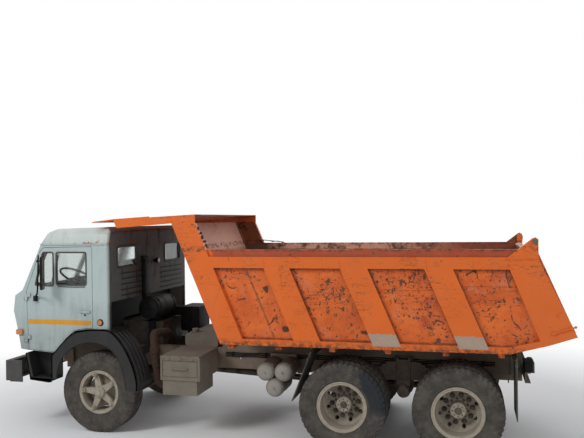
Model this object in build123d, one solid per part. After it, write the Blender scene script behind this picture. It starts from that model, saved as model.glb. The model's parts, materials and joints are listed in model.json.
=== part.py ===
from build123d import *
from math import atan2, cos, degrees, pi, radians, sin, sqrt, tan
import os

# Three-axle tipping lorry with a cab over its engine. Millimetres.
# It faces -X, its left side is -Y, the ground is z = 0 and y = 0 is its middle.
# While it is modelled, x is measured from the front axle; save() moves it to mid-length.

# Overall
X_NOSE = -1290
X_TAIL = 5766
X_MIDDLE = (X_NOSE + X_TAIL) / 2
SLIP = 0.3
CLEAR = 6

# Wheels and axles
TYRE_R = 518
TYRE_HALF_WIDTH = 138
TREAD_HALF_WIDTH = 106
HUB_Z = TYRE_R
X_REAR_1 = 3190
X_REAR_2 = 4510
X_BOGIE = (X_REAR_1 + X_REAR_2) / 2
FRONT_WHEEL_Y = 1005
REAR_WHEEL_Y = 925
TWIN_OFFSET = 160
FRONT_FLANGE_R = 272
REAR_FLANGE_R = 290
RIM_HALF_WIDTH = 110
RIM_WALL = 14
FLANGE_WIDTH = 10
SPOKES = 5
SPOKE_TURN = 40
HAND_HOLES = 8
HAND_HOLE_TURN = 28
HAND_HOLE_R = 24
DRUM_R = 205
KINGPIN_Y = 860
KINGPIN_R = 24
SPINDLE_R = 40
BOSS_HALF_HEIGHT = 60
YOKE_LUG = 34
STEER_ARM = 250
STEER_ARM_IN = 70
TIE_ROD_R = 20

# Chassis
RAIL_OUTER_Y = 432
RAIL_FLANGE = 80
RAIL_WEB = 9
RAIL_BOTTOM = 750
RAIL_TOP = 1020
X_RAIL_FRONT = -1044
X_BUMPER_END = -1050
ENGINE_X = (-700, 540)
ENGINE_Z = (600, 1330)
ENGINE_HALF = 325
GEARBOX_END = 1150
AXLE_BEAM_TOP = 500
REAR_TUBE_HALF = 700
REAR_TUBE_R = 72
SPINDLE_END = 1020
LEAVES = 4
HANGER_DROP = 70
AIR_TANK_R = 112
AIR_TANKS = ((2194, 837), (2421, 839), (2309, 644))
X_RAIL_REAR = 5250
SUB_TOP = 1125
X_SUB_FRONT = 1450
CROSS_MEMBERS = (-1000, 1300, 2400, 3805, 5150)
CROSS_MEMBER_LENGTH = 90
FRAME_HOLE_R = 8.5
FRAME_HOLE_X = 1700
FRAME_HOLE_RIGHT_X = 2600
FRAME_HOLE_Z = 885
TIP_X = 5180
TIP_Z = 1130
TIP_PIN_R = 28

# Cab
CAB_HALF = 1200
CAB_WALL = 40
CAB_REAR = 221
DRIP_Z = 2432
BACK_Z = 1690
SIDE_BOTTOM = 1346
CAB_LOW = 1020
DOOR_GAP = 6
HINGE_X = -978
HINGE_OUT = 14
HINGE_R = 11
PANE = 6
ENGINE_HUMP_HALF = 410
ENGINE_HUMP_TOP = 1400
FLOOR_Z = 1200
FOOT_Z = 1060
PANEL = 20
SCREEN_PANE_WIDTH = 1010
GUARD_OUT = 1250
GUARD_WALL = 16
GUARD_INNER_Y = 700
GUARD_SIDE_Y = 1165
GUARD_REAR_Y = 850
SEAT_Y = (-650, 0, 650)
STEER_Y = -650
STEER_TOP = (-560, 1960)
STEER_LEAN = 28
STEER_WHEEL_R = 255
SEAT_TOP = 1640

# Bed
BED_HALF = 1250
BED_WALL_OUT = 1190
BED_WALL = 22
BED_FLOOR_Z = 1215
BED_FLOOR = 26
BED_TOP = 2360
RAIL_LOW = 2140
RAIL_HIGH = 2274
SILL_TOP_RAIL = 1288
LEAN = tan(radians(23))
BED_FRONT = 1722
POST_LENGTH = 310
RIB_LENGTH = 317
RIBS_AT_RAIL = (2276, 3200, 4160)
KICK_START = 5072
KICK = ((5483, 1324), (5766, 1420))
SILL_HALF_INNER = 335
SILL_WIDTH = 95
BEARERS = (1800, 2400, 3050, 3700, 4350, 4950)
GATE_PIN = (5345, 2449)
GATE_PIN_R = 20
GATE_THICK = 55
CANOPY_FRONT = 305
CANOPY_TOP_REAR = 2793
CANOPY_FALL = 52
CANOPY_DEPTH = 108
CANOPY_PLATE = 8
CANOPY_TOP_FRONT = CANOPY_TOP_REAR - CANOPY_FALL
BED_CANOPY_BASE = CANOPY_TOP_REAR - CANOPY_DEPTH
SKIRT = 105
LIP_FRONT = 10
LIP_DROP = 30

# Twin hoist: its trunnion on the subframe and the pin under the bed
HOIST_FOOT = (2855, 740)
HOIST_EYE = (2950, 1150)
HOIST_Y = 215
HOIST_RADII = (75, 62, 49, 36)
HOIST_TUBE = 12
HOIST_BELOW = 370
HOIST_HEAD_R = 46
EYE_PIN_R = 20
TRUNNION_R = 24
HEAD_HALF_WIDTH = 30
HEAD_OPENS = 155


def block(x, y, z):
    centre = Pos((x[0] + x[1]) / 2, (y[0] + y[1]) / 2, (z[0] + z[1]) / 2)
    return centre * Box(abs(x[1] - x[0]), abs(y[1] - y[0]), abs(z[1] - z[0]))


def side_plate(points, y):
    outline = Polyline(*[(px, y[0], pz) for px, pz in points], close=True)
    return extrude(make_face(outline), amount=y[1] - y[0], dir=(0, 1, 0))


def cross_plate(points, x):
    outline = Polyline(*[(x[0], py, pz) for py, pz in points], close=True)
    return extrude(make_face(outline), amount=x[1] - x[0], dir=(1, 0, 0))


def level_plate(points, z):
    outline = Polyline(*[(px, py, z[0]) for px, py in points], close=True)
    return extrude(make_face(outline), amount=z[1] - z[0], dir=(0, 0, 1))


def rod(start, end, radius):
    a = Vector(*start)
    b = Vector(*end)
    return Solid.make_cylinder(radius, (b - a).length, Plane(origin=a, z_dir=b - a))


def pipe(points, radius, bend):
    path = FilletPolyline(*points, radius=bend)
    section = Plane(origin=path @ 0, z_dir=path % 0) * Circle(radius)
    return sweep(section, path)


def right_of(shape):
    return mirror(shape, about=Plane.XZ)


def both(shape):
    return shape + right_of(shape)


def pair(shape):
    return Compound(children=list(shape.solids()) + list(right_of(shape).solids()))


def together(*shapes):
    return Compound(children=[solid for shape in shapes for solid in shape.solids()])


def save(name, shape):
    export_step(Pos(-X_MIDDLE, 0, 0) * shape, f"parts/{name}.step")


# Wheels

def lathe(profile, x, y):
    """Turn (radius, width) points about the wheel's own axis."""
    outline = Polyline(*[(x + r, y + w, HUB_Z) for r, w in profile], close=True)
    return revolve(make_face(outline), Axis((x, 0, HUB_Z), (0, 1, 0)))


def tyre(x, y, flange_r):
    bead = flange_r - 17
    heel = RIM_HALF_WIDTH - FLANGE_WIDTH - 3
    shoulder = TYRE_R - 24

    def at(r, w):
        return (x + r, y + w, HUB_Z)

    def side(sign):
        return [Line(at(bead, sign * heel), at(flange_r + 3, sign * heel)),
                ThreePointArc(at(flange_r + 3, sign * heel),
                              at((flange_r + shoulder) / 2 + 10, sign * TYRE_HALF_WIDTH),
                              at(shoulder, sign * (TREAD_HALF_WIDTH + 12))),
                Line(at(shoulder, sign * (TREAD_HALF_WIDTH + 12)), at(TYRE_R - 5, sign * TREAD_HALF_WIDTH))]

    edges = side(-1) + side(1)
    edges.append(Line(at(bead, -heel), at(bead, heel)))
    edges.append(ThreePointArc(at(TYRE_R - 5, -TREAD_HALF_WIDTH), at(TYRE_R, 0), at(TYRE_R - 5, TREAD_HALF_WIDTH)))
    return revolve(make_face(edges), Axis((x, 0, HUB_Z), (0, 1, 0)))


def rim(x, y, flange_r):
    base = flange_r - 17 - SLIP
    inner = base - RIM_WALL
    edge = RIM_HALF_WIDTH
    lip = RIM_HALF_WIDTH - FLANGE_WIDTH
    return lathe([(inner, -edge), (flange_r, -edge), (flange_r, -lip), (base, -lip),
                  (base, lip), (flange_r, lip), (flange_r, edge), (inner, edge)], x, y)


def front_wheel():
    """Five-spoke cast wheel with its rim, hub and brake drum, for the left side."""
    y = -FRONT_WHEEL_Y
    inner = FRONT_FLANGE_R - 17 - SLIP - RIM_WALL
    hub_face = y - 92
    wheel = rim(0, y, FRONT_FLANGE_R)
    wheel += lathe([(SPINDLE_R + SLIP, 0), (95, 0), (88, hub_face + 30 - y), (74, hub_face - y),
                    (74, hub_face - 14 - y), (52, hub_face - 30 - y), (0, hub_face - 34 - y),
                    (0, -70), (SPINDLE_R + SLIP, -70)], 0, y)
    wheel += lathe([(SPINDLE_R + SLIP, 0), (95, 0), (DRUM_R, 30), (DRUM_R, 118), (DRUM_R - 16, 118),
                    (DRUM_R - 16, 46), (SPINDLE_R + SLIP, 20)], 0, y)
    for i in range(SPOKES):
        turn = Rot(0, SPOKE_TURN + i * 360 / SPOKES, 0)
        spoke = side_plate([(60, -46), (inner - 30, -30), (inner + 4, -34), (inner + 4, 34), (inner - 30, 30),
                            (60, 46)], (y - 84, y - 36))
        spoke += block((inner - 34, inner + 12), (-22 + y - 78, 22 + y - 78), (-26, 26))
        wheel += Pos(0, 0, HUB_Z) * turn * spoke
    return wheel


def twin_wheels(x):
    """Two rims on back-to-back dished discs, with the hub and drum, for the left side."""
    y = -REAR_WHEEL_Y
    inner = REAR_FLANGE_R - 17 - SLIP - RIM_WALL
    wheel = rim(x, y - TWIN_OFFSET, REAR_FLANGE_R) + rim(x, y + TWIN_OFFSET, REAR_FLANGE_R)
    dish = [(inner + 4, -78), (inner + 4, -62), (218, 0), (inner + 4, 62), (inner + 4, 78),
            (206, 14), (118, 14), (118, -14), (206, -14)]
    wheel += lathe(dish, x, y)
    wheel += lathe([(SPINDLE_R + SLIP, 60), (125, 60), (125, -30), (96, -40), (92, -128), (80, -140), (0, -140),
                    (0, -120), (SPINDLE_R + SLIP, -120)], x, y)
    wheel += lathe([(110, 40), (DRUM_R, 60), (DRUM_R, 205), (DRUM_R - 18, 205), (DRUM_R - 18, 76), (110, 58)], x, y)
    for i in range(HAND_HOLES):
        turn = Rot(0, HAND_HOLE_TURN + i * 360 / HAND_HOLES, 0)
        hole = rod((212, y - 100, 0), (212, y + 100, 0), HAND_HOLE_R)
        wheel -= Pos(x, 0, HUB_Z) * turn * hole
    return wheel


def wheels():
    wheel = front_wheel()
    front_tyre = tyre(0, -FRONT_WHEEL_Y, FRONT_FLANGE_R)
    save("front_wheel_left", wheel)
    save("front_wheel_right", right_of(wheel))
    save("front_tyre_left", front_tyre)
    save("front_tyre_right", right_of(front_tyre))
    for number, x in ((1, X_REAR_1), (2, X_REAR_2)):
        wheel = twin_wheels(x)
        tyres = together(tyre(x, -REAR_WHEEL_Y - TWIN_OFFSET, REAR_FLANGE_R),
                         tyre(x, -REAR_WHEEL_Y + TWIN_OFFSET, REAR_FLANGE_R))
        save(f"rear_wheels_{number}_left", wheel)
        save(f"rear_wheels_{number}_right", right_of(wheel))
        save(f"rear_tyres_{number}_left", tyres)
        save(f"rear_tyres_{number}_right", together(right_of(tyres)))


# Chassis

def channel(x, z, y_outer, flange, web):
    outer = block(x, (-y_outer, -y_outer + flange), z)
    inner = block(x, (-y_outer + web, -y_outer + flange), (z[0] + web, z[1] - web))
    return outer - inner


def chassis_frame():
    frame = both(channel((X_RAIL_FRONT, X_RAIL_REAR), (RAIL_BOTTOM, RAIL_TOP), RAIL_OUTER_Y, RAIL_FLANGE, RAIL_WEB))
    inside = RAIL_OUTER_Y - RAIL_WEB
    for x in CROSS_MEMBERS:
        beam = block((x, x + CROSS_MEMBER_LENGTH), (-inside, inside), (RAIL_BOTTOM + RAIL_WEB, RAIL_TOP - 60))
        beam -= block((x + RAIL_WEB, x + CROSS_MEMBER_LENGTH), (-inside, inside),
                      (RAIL_BOTTOM + 3 * RAIL_WEB, RAIL_TOP - 60 - RAIL_WEB))
        frame += beam
    eye_x = X_RAIL_FRONT - 60
    eye_z = RAIL_BOTTOM + RAIL_WEB + 50
    eye = rod((eye_x, -392, eye_z), (eye_x, -362, eye_z), 50)
    eye += block((eye_x, X_RAIL_FRONT + 40), (-392, -362), (eye_z - 50, eye_z + 50))
    eye -= rod((eye_x, -400, eye_z), (eye_x, -350, eye_z), 22)
    frame += both(eye)
    hanger = block((-860, -760), (-475, -RAIL_OUTER_Y), (RAIL_BOTTOM - HANGER_DROP, RAIL_BOTTOM + 180))
    hanger += block((-860, -760), (-475, -385), (RAIL_BOTTOM - HANGER_DROP, RAIL_BOTTOM))
    frame += both(hanger) + both(Pos(1620, 0, 0) * hanger)
    for x, sign in ((FRAME_HOLE_X, -1), (FRAME_HOLE_RIGHT_X, 1)):
        frame -= rod((x, sign * (RAIL_OUTER_Y - 30), FRAME_HOLE_Z), (x, sign * (RAIL_OUTER_Y + 10), FRAME_HOLE_Z), FRAME_HOLE_R)
    return frame


def tipping_subframe():
    """Upper rails on the chassis, the bed's hinge lugs and pin, and the hoist's hangers."""
    inside = RAIL_OUTER_Y - RAIL_FLANGE
    foot_x, foot_z = HOIST_FOOT
    sub = block((X_SUB_FRONT, X_RAIL_REAR), (-RAIL_OUTER_Y, -inside), (RAIL_TOP, SUB_TOP - 30))
    sub -= block((TIP_X - 75, X_RAIL_REAR), (-RAIL_OUTER_Y, -inside), (RAIL_TOP + 45, SUB_TOP))
    lug = side_plate([(TIP_X - 66, RAIL_BOTTOM + 60), (TIP_X + 66, RAIL_BOTTOM + 60), (TIP_X + 60, TIP_Z),
                      (TIP_X + 30, TIP_Z + 48), (TIP_X - 30, TIP_Z + 48), (TIP_X - 60, TIP_Z)],
                     (-RAIL_OUTER_Y - 28, -RAIL_OUTER_Y))
    hanger = block((foot_x - 60, foot_x + 60), (-inside, -HOIST_Y - HOIST_RADII[0] - 8), (foot_z - 55, SUB_TOP - 40))
    hanger -= rod((foot_x, -RAIL_OUTER_Y, foot_z), (foot_x, 0, foot_z), TRUNNION_R + SLIP)
    half = sub + lug + hanger
    pin = rod((TIP_X, -RAIL_OUTER_Y - 34, TIP_Z), (TIP_X, RAIL_OUTER_Y + 34, TIP_Z), TIP_PIN_R)
    ties = block((X_SUB_FRONT, X_SUB_FRONT + 80), (-inside, inside), (RAIL_TOP + 5, SUB_TOP - 40))
    ties += block((4300, 4380), (-inside, inside), (RAIL_TOP + 5, SUB_TOP - 40))
    return both(half) + pin + ties


def front_bumper():
    bar = block((X_NOSE, X_NOSE + 60), (-1235, 1235), (640, 905))
    bar += block((X_NOSE + 60, X_NOSE + 90), (-1235, 1235), (640, 670))
    bar += block((X_NOSE + 60, X_NOSE + 90), (-1235, 1235), (875, 905))
    end = block((X_NOSE + 60, X_BUMPER_END), (-1235, -1213), (628, 905))
    bracket = block((X_NOSE + 60, X_RAIL_FRONT), (-RAIL_OUTER_Y, -RAIL_OUTER_Y + 36), (770, 860))
    lamp_hole = block((X_NOSE - 5, X_NOSE + 55), (-1130, -900), (700, 850))
    return bar + both(end) + both(bracket) - both(lamp_hole)


def engine_block():
    return block(ENGINE_X, (-ENGINE_HALF, ENGINE_HALF), ENGINE_Z) + block((ENGINE_X[1], GEARBOX_END), (-190, 190), (600, 900))


def drive_shafts():
    """Axle housings with their differentials, and the propeller shafts between them."""
    parts = None
    for x in (X_REAR_1, X_REAR_2):
        tube = rod((x, -REAR_TUBE_HALF, HUB_Z), (x, REAR_TUBE_HALF, HUB_Z), REAR_TUBE_R)
        bowl = revolve(make_face(Polyline((x, -190, HUB_Z), (x + 90, -170, HUB_Z), (x + 205, -60, HUB_Z),
                                          (x + 205, 60, HUB_Z), (x + 90, 170, HUB_Z), (x, 190, HUB_Z), close=True)),
                       Axis((x, 0, HUB_Z), (0, 1, 0)))
        nose = rod((x - 330, 0, HUB_Z + 30), (x, 0, HUB_Z + 30), 70)
        spindle = rod((x, -SPINDLE_END, HUB_Z), (x, SPINDLE_END, HUB_Z), SPINDLE_R)
        axle = tube + bowl + nose + spindle
        parts = axle if parts is None else parts + axle
    parts += rod((GEARBOX_END + 3, 0, 640), (X_REAR_1 - 330, 0, HUB_Z + 30), 42)
    parts += rod((X_REAR_1, 0, HUB_Z + 30), (X_REAR_2 - 330, 0, HUB_Z + 30), 42)
    return parts


def leaf_pack(x, half_length, z_mid, z_end, thick, y):
    """A curved stack of leaves, shorter ones below or above the main leaf."""
    rise = z_end - z_mid
    radius = (half_length ** 2 + rise ** 2) / (2 * abs(rise))
    up = 1 if rise > 0 else -1
    pack = None
    for leaf in range(LEAVES):
        length = half_length * (1 - 0.75 * leaf / LEAVES)
        near = thick * leaf / LEAVES
        far = thick * (leaf + 1) / LEAVES
        bend = radius + near
        drop = bend - sqrt(bend ** 2 - length ** 2)
        outer = radius + far
        outer_drop = outer - sqrt(outer ** 2 - length ** 2)
        inner_arc = ThreePointArc((x - length, y[0], z_mid - up * near + up * drop), (x, y[0], z_mid - up * near),
                                  (x + length, y[0], z_mid - up * near + up * drop))
        outer_arc = ThreePointArc((x - length, y[0], z_mid - up * far + up * outer_drop),
                                  (x, y[0], z_mid - up * far),
                                  (x + length, y[0], z_mid - up * far + up * outer_drop))
        face = make_face([inner_arc, Line(inner_arc @ 1, outer_arc @ 1), outer_arc, Line(outer_arc @ 0, inner_arc @ 0)])
        solid = extrude(face, amount=y[1] - y[0], dir=(0, 1, 0))
        pack = solid if pack is None else pack + solid
    return pack


def leaf_springs():
    front = leaf_pack(0, 800, 640, RAIL_BOTTOM - HANGER_DROP - SLIP, 66, (-470, -390))
    saddle = block((-70, 70), (-475, -385), (AXLE_BEAM_TOP, 580))
    front += saddle
    front += block((-90, -60), (-486, -374), (AXLE_BEAM_TOP, 660)) + block((60, 90), (-486, -374), (AXLE_BEAM_TOP, 660))
    front += block((-90, 90), (-486, -374), (641, 662))
    rear = leaf_pack(X_BOGIE, 640, 790, 640, 120, (-548, -458))
    carrier = rod((X_BOGIE, -600, 597), (X_BOGIE, -RAIL_OUTER_Y, 597), 84)
    carrier += rod((X_BOGIE, -640, 597), (X_BOGIE, -600, 597), 70)
    carrier += cross_plate([(-470, 600), (-RAIL_OUTER_Y, 600), (-RAIL_OUTER_Y, 1000), (-455, 1000)],
                           (X_BOGIE - 120, X_BOGIE + 120))
    carrier += block((X_BOGIE - 85, X_BOGIE + 85), (-556, -450), (597, 680))
    clamp = block((X_BOGIE - 85, X_BOGIE + 85), (-556, -450), (788, 815))
    for x in (X_BOGIE - 70, X_BOGIE + 46):
        for y in (-560, -456):
            clamp += block((x, x + 24), (y, y + 12), (620, 850))
    rear += carrier + clamp
    for x in (X_REAR_1, X_REAR_2):
        rear += block((x - 60, x + 60), (-548, -458), (HUB_Z + 30, 655)) - rod((x, -600, HUB_Z), (x, 0, HUB_Z), REAR_TUBE_R + SLIP)
    return pair(front), pair(rear)


def front_axle():
    """Dropped forged beam between the kingpin bosses, with its kingpins."""
    half = side_plate([(-50, AXLE_BEAM_TOP - 90), (50, AXLE_BEAM_TOP - 90), (50, AXLE_BEAM_TOP - 74),
                       (14, AXLE_BEAM_TOP - 66), (14, AXLE_BEAM_TOP - 24), (50, AXLE_BEAM_TOP - 16),
                       (50, AXLE_BEAM_TOP), (-50, AXLE_BEAM_TOP), (-50, AXLE_BEAM_TOP - 16),
                       (-14, AXLE_BEAM_TOP - 24), (-14, AXLE_BEAM_TOP - 66), (-50, AXLE_BEAM_TOP - 74)], (-620, 0))
    arm = cross_plate([(-620, AXLE_BEAM_TOP - 90), (-620, AXLE_BEAM_TOP), (-KINGPIN_Y, HUB_Z + 45),
                       (-KINGPIN_Y, HUB_Z - 45)], (-38, 38))
    boss = rod((0, -KINGPIN_Y, HUB_Z - BOSS_HALF_HEIGHT), (0, -KINGPIN_Y, HUB_Z + BOSS_HALF_HEIGHT), 46)
    pin = rod((0, -KINGPIN_Y, HUB_Z - BOSS_HALF_HEIGHT - YOKE_LUG), (0, -KINGPIN_Y, HUB_Z + BOSS_HALF_HEIGHT + YOKE_LUG),
              KINGPIN_R)
    return both(half + arm + boss + pin)


def knuckle():
    """Yoke round the axle's boss, the spindle and the steering arm, for the left side."""
    top = HUB_Z + BOSS_HALF_HEIGHT + SLIP
    low = HUB_Z - BOSS_HALF_HEIGHT - SLIP
    body = None
    for z in ((top, top + YOKE_LUG), (low - YOKE_LUG, low)):
        lug = rod((0, -KINGPIN_Y, z[0]), (0, -KINGPIN_Y, z[1]), 46)
        lug += block((-46, 46), (-KINGPIN_Y - 78, -KINGPIN_Y), z)
        lug -= rod((0, -KINGPIN_Y, z[0] - 1), (0, -KINGPIN_Y, z[1] + 1), KINGPIN_R + SLIP)
        body = lug if body is None else body + lug
    body += block((-46, 46), (-KINGPIN_Y - 78, -KINGPIN_Y - 52), (low - YOKE_LUG, top + YOKE_LUG))
    body += rod((0, -KINGPIN_Y - 60, HUB_Z), (0, -FRONT_WHEEL_Y - 60, HUB_Z), SPINDLE_R)
    end_y = -KINGPIN_Y + STEER_ARM_IN
    arm = level_plate([(34, -KINGPIN_Y - 24), (34, -KINGPIN_Y + 24), (STEER_ARM, end_y + 20), (STEER_ARM, end_y - 20)],
                      (low - YOKE_LUG, low - 6))
    arm += rod((STEER_ARM, end_y, low - YOKE_LUG), (STEER_ARM, end_y, low - 6), 30)
    return body + arm


def tie_rod():
    z = HUB_Z - BOSS_HALF_HEIGHT - YOKE_LUG - SLIP - SLIP
    end_y = -KINGPIN_Y + STEER_ARM_IN
    end = rod((STEER_ARM, end_y, z - 44), (STEER_ARM, end_y, z), 28)
    return both(end) + rod((STEER_ARM, end_y, z - 22), (STEER_ARM, -end_y, z - 22), TIE_ROD_R)


def battery_box():
    box = block((906, 1430), (-1200, -560), (737, 1010))
    box -= block((930, 1406), (-1210, -1192), (775, 985))
    box += block((945, 1391), (-1199, -1190), (790, 970))
    box += block((930, 1385), (-1185, -640), (552, 737))
    lid = side_plate([(900, 1010), (1436, 1010), (1420, 1042), (916, 1042)], (-1206, -556))
    arms = block((960, 1010), (-560, -RAIL_OUTER_Y), (800, 980)) + block((1330, 1380), (-560, -RAIL_OUTER_Y), (800, 980))
    return box + lid + arms


def fuel_tank():
    tank = fillet(block((1500, 2450), (470, 1150), (520, 960)).edges().filter_by(Axis.X), 70)
    for x in (1640, 2250):
        tank += block((x, x + 60), (RAIL_OUTER_Y, 480), (560, 1000))
        tank += block((x, x + 60), (464, 1156), (514, 966)) - block((x, x + 60), (474, 1146), (524, 956))
    return tank + rod((1950, 1050, 950), (1950, 1050, 1000), 50)


def air_reservoirs():
    tanks = None
    for x, z in AIR_TANKS:
        tank = rod((x, -950, z), (x, -480, z), AIR_TANK_R - 12) + rod((x, -935, z), (x, -495, z), AIR_TANK_R)
        tanks = tank if tanks is None else tanks + tank
    plate = block((AIR_TANKS[0][0] - 60, AIR_TANKS[1][0] + 60), (-500, -RAIL_OUTER_Y), (770, 980))
    plate += block((AIR_TANKS[2][0] - 60, AIR_TANKS[2][0] + 60), (-500, -462), (600, 800))
    return tanks + plate


def exhaust_pipe():
    route = [(ENGINE_X[1] + 60, -ENGINE_HALF + 40, 1180), (640, -560, 1230), (665, -880, 1255), (690, -900, 1060), (735, -900, 640),
             (860, -860, 560)]
    pipe_run = pipe(route, 52, 60)
    collar = block((ENGINE_X[1], ENGINE_X[1] + 64), (-ENGINE_HALF + 5, -ENGINE_HALF + 90), (1120, 1240))
    collar += rod((688, -900, 1080), (694, -900, 1010), 66)
    return pipe_run + collar


def air_cleaner():
    """Cleaner drum on the arch behind the cab, and its upright intake duct."""
    x, z = 412, 1569
    drum = rod((x, -500, z), (x, 80, z), 125) + rod((x, -512, z), (x, -500, z), 108)
    arch = both(block((x - 40, x + 40), (-RAIL_OUTER_Y, -RAIL_OUTER_Y + 50), (RAIL_TOP, 1446)))
    arch += block((x - 40, x + 40), (-RAIL_OUTER_Y, RAIL_OUTER_Y), (1396, 1446))
    duct = block((262, 372), (20, 250), (1600, 2160)) + block((262, 460), (20, 90), (1500, 1650))
    hood = side_plate([(CAB_REAR + 6, 2150), (380, 2150), (380, 2240), (250, 2300), (CAB_REAR + 6, 2300)], (10, 260))
    return drum + arch + duct + hood


def mudflaps():
    rear = block((5140, 5152), (-1190, -650), (467, 1165)) + rod((5146, -1180, 1075), (5146, -RAIL_OUTER_Y - 28, 1075), 18)
    lean = side_plate([(2822, 1150), (2834, 1150), (2596, 558), (2584, 558)], (-1190, -650))
    lean += rod((2786, -1180, 1060), (2786, -RAIL_OUTER_Y, 1060), 18)
    return together(both(rear), both(lean))


def rear_lamps():
    beam = block((X_RAIL_REAR, X_RAIL_REAR + 60), (-900, 900), (830, 950))
    box = block((X_RAIL_REAR + 60, X_RAIL_REAR + 140), (-890, -600), (845, 935))
    return beam + both(box)


# Cab

CAB_SIDE = [(-1074, CAB_LOW), (-1118, 1277), (-1186, 1558), (-1160, 1760), (-1049, 1831), (-769, DRIP_Z),
            (-673, 2582), (-560, 2630), (150, 2650), (CAB_REAR, 2580), (CAB_REAR, CAB_LOW)]
CAB_END = [(-CAB_HALF, 900), (-CAB_HALF, DRIP_Z + 10), (-1176, 2560), (-1120, 2626), (-900, 2662), (0, 2690),
           (900, 2662), (1120, 2626), (1176, 2560), (CAB_HALF, DRIP_Z + 10), (CAB_HALF, 900)]
DOOR = [(-966, 1051), (-997, 1817), (-786, 2336), (-730, 2392), (-40, 2402), (-25, 2385), (-25, 1352),
        (-120, 1346), (-284, 1321), (-420, 1200), (-565, 1040), (-584, 1030)]
UNDER_CAB = [(-1300, 900), (-1300, 1084), (-966, 1051 - DOOR_GAP), (-584, 1024), (-565, 1034), (-420, 1194),
             (-284, 1315), (-120, 1340), (-25, SIDE_BOTTOM),
             (CAB_REAR + 30, SIDE_BOTTOM), (CAB_REAR + 30, 900)]
DOOR_WINDOW = [(-545, 1905), (-545, 2325), (-113, 2325), (-113, 1905)]
QUARTER_WINDOW = [(-860, 1895), (-745, 2325), (-590, 2325), (-590, 1890)]
REAR_WINDOW_Y = (440, 1005)
REAR_WINDOW_Z = (2118, 2390)


def inset(face, amount):
    return offset(face, amount=-amount, kind=Kind.INTERSECTION).faces()[0]


def side_face(points, y):
    return make_face(Polyline(*[(px, y, pz) for px, pz in points], close=True))


def end_face(points, x):
    return make_face(Polyline(*[(x, py, pz) for py, pz in points], close=True))


def cab_hull(amount):
    """The cab's closed outer form, moved inwards by an amount."""
    sides = extrude(inset(side_face(CAB_SIDE, -CAB_HALF), amount), amount=2 * CAB_HALF, dir=(0, 1, 0))
    ends = extrude(inset(end_face(CAB_END, -1300), amount), amount=1700, dir=(1, 0, 0))
    return sides & ends


def screen_opening():
    """Two panes beside a centre pillar, cut square to the sloping screen."""
    base = Vector(-1049, 0, 1831)
    top = Vector(-769, 0, DRIP_Z)
    up = (top - base).normalized()
    screen = Plane(origin=base, x_dir=(0, 1, 0), z_dir=up.cross(Vector(0, 1, 0)))
    height = (top - base).length
    cuts = []
    for sign in (-1, 1):
        pane = Rectangle(SCREEN_PANE_WIDTH, height - 110)
        pane = fillet(pane.vertices(), 45)
        centre = Pos(sign * (SCREEN_PANE_WIDTH / 2 + 22), (height - 20) / 2 * screen_sign(screen, up), 0)
        cuts.append(screen * centre * pane)
    return cuts, screen


def screen_sign(screen, up):
    return 1 if screen.y_dir.dot(up) > 0 else -1


def door_outline(amount):
    face = side_face(DOOR, -CAB_HALF - 60)
    return inset(face, amount) if amount else face


def cab():
    shell = cab_hull(0) - cab_hull(CAB_WALL)
    shell -= block((-1400, CAB_REAR + 20), (-CAB_HALF + CAB_WALL, CAB_HALF - CAB_WALL), (900, 1120))
    shell -= side_plate(UNDER_CAB, (-CAB_HALF - 5, CAB_HALF + 5))
    door_cut = extrude(door_outline(0), amount=60 + CAB_WALL + 5, dir=(0, 1, 0))
    openings, screen = screen_opening()
    normal = screen.z_dir
    panes = []
    for cut in openings:
        shell -= extrude(cut, amount=90, dir=normal, both=True)
        panes.append(extrude(cut, amount=-PANE, dir=normal))
    rear_panes = []
    for sign in (-1, 1):
        y = sorted((sign * REAR_WINDOW_Y[0], sign * REAR_WINDOW_Y[1]))
        window = fillet(block((CAB_REAR - 60, CAB_REAR + 20), y, REAR_WINDOW_Z).edges().filter_by(Axis.X), 45)
        shell -= window
        rear_panes.append(window & block((CAB_REAR - 24, CAB_REAR - 24 + PANE), (-CAB_HALF, CAB_HALF), (1000, 2600)))
    shell -= both(door_cut)
    shell -= block((-60, CAB_REAR + 20), (-CAB_HALF + CAB_WALL, CAB_HALF - CAB_WALL), (900, BACK_Z))

    roof_region = block((-1400, 400), (-1300, 1300), (DRIP_Z, 2900))
    roof = shell & roof_region
    body = shell - roof_region
    rear_region = block((CAB_REAR - CAB_WALL, 400), (-CAB_HALF + CAB_WALL, CAB_HALF - CAB_WALL), (800, 2900))
    rear = body & rear_region
    body -= rear_region
    front_region = side_plate([(-1400, 900), (-966, 900), (-966, 1051), (-997, 1817), (-786, 2336),
                               (-745, DRIP_Z + 5), (-1400, DRIP_Z + 5)], (-CAB_HALF - 5, CAB_HALF + 5))
    front = body & front_region
    sides = body - front_region
    gutter = side_plate([(-775, DRIP_Z - 8), (CAB_REAR + 8, DRIP_Z - 8), (CAB_REAR + 8, DRIP_Z + 6),
                         (-775, DRIP_Z + 6)], (-CAB_HALF - 14, -CAB_HALF))
    sides += both(gutter)
    for z in (1150, 1700):
        knuckle_block = rod((HINGE_X, -CAB_HALF - HINGE_OUT, z), (HINGE_X, -CAB_HALF - HINGE_OUT, z + 45), HINGE_R)
        knuckle_block += block((HINGE_X - 50, HINGE_X), (-CAB_HALF - HINGE_OUT - 4, -CAB_HALF), (z, z + 45))
        front += both(knuckle_block)
    shelf = block((-40, CAB_REAR - CAB_WALL), (-CAB_HALF + CAB_WALL, CAB_HALF - CAB_WALL), (BACK_Z, BACK_Z + PANEL))
    return front, sides, rear, roof, shelf, panes, rear_panes


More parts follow.
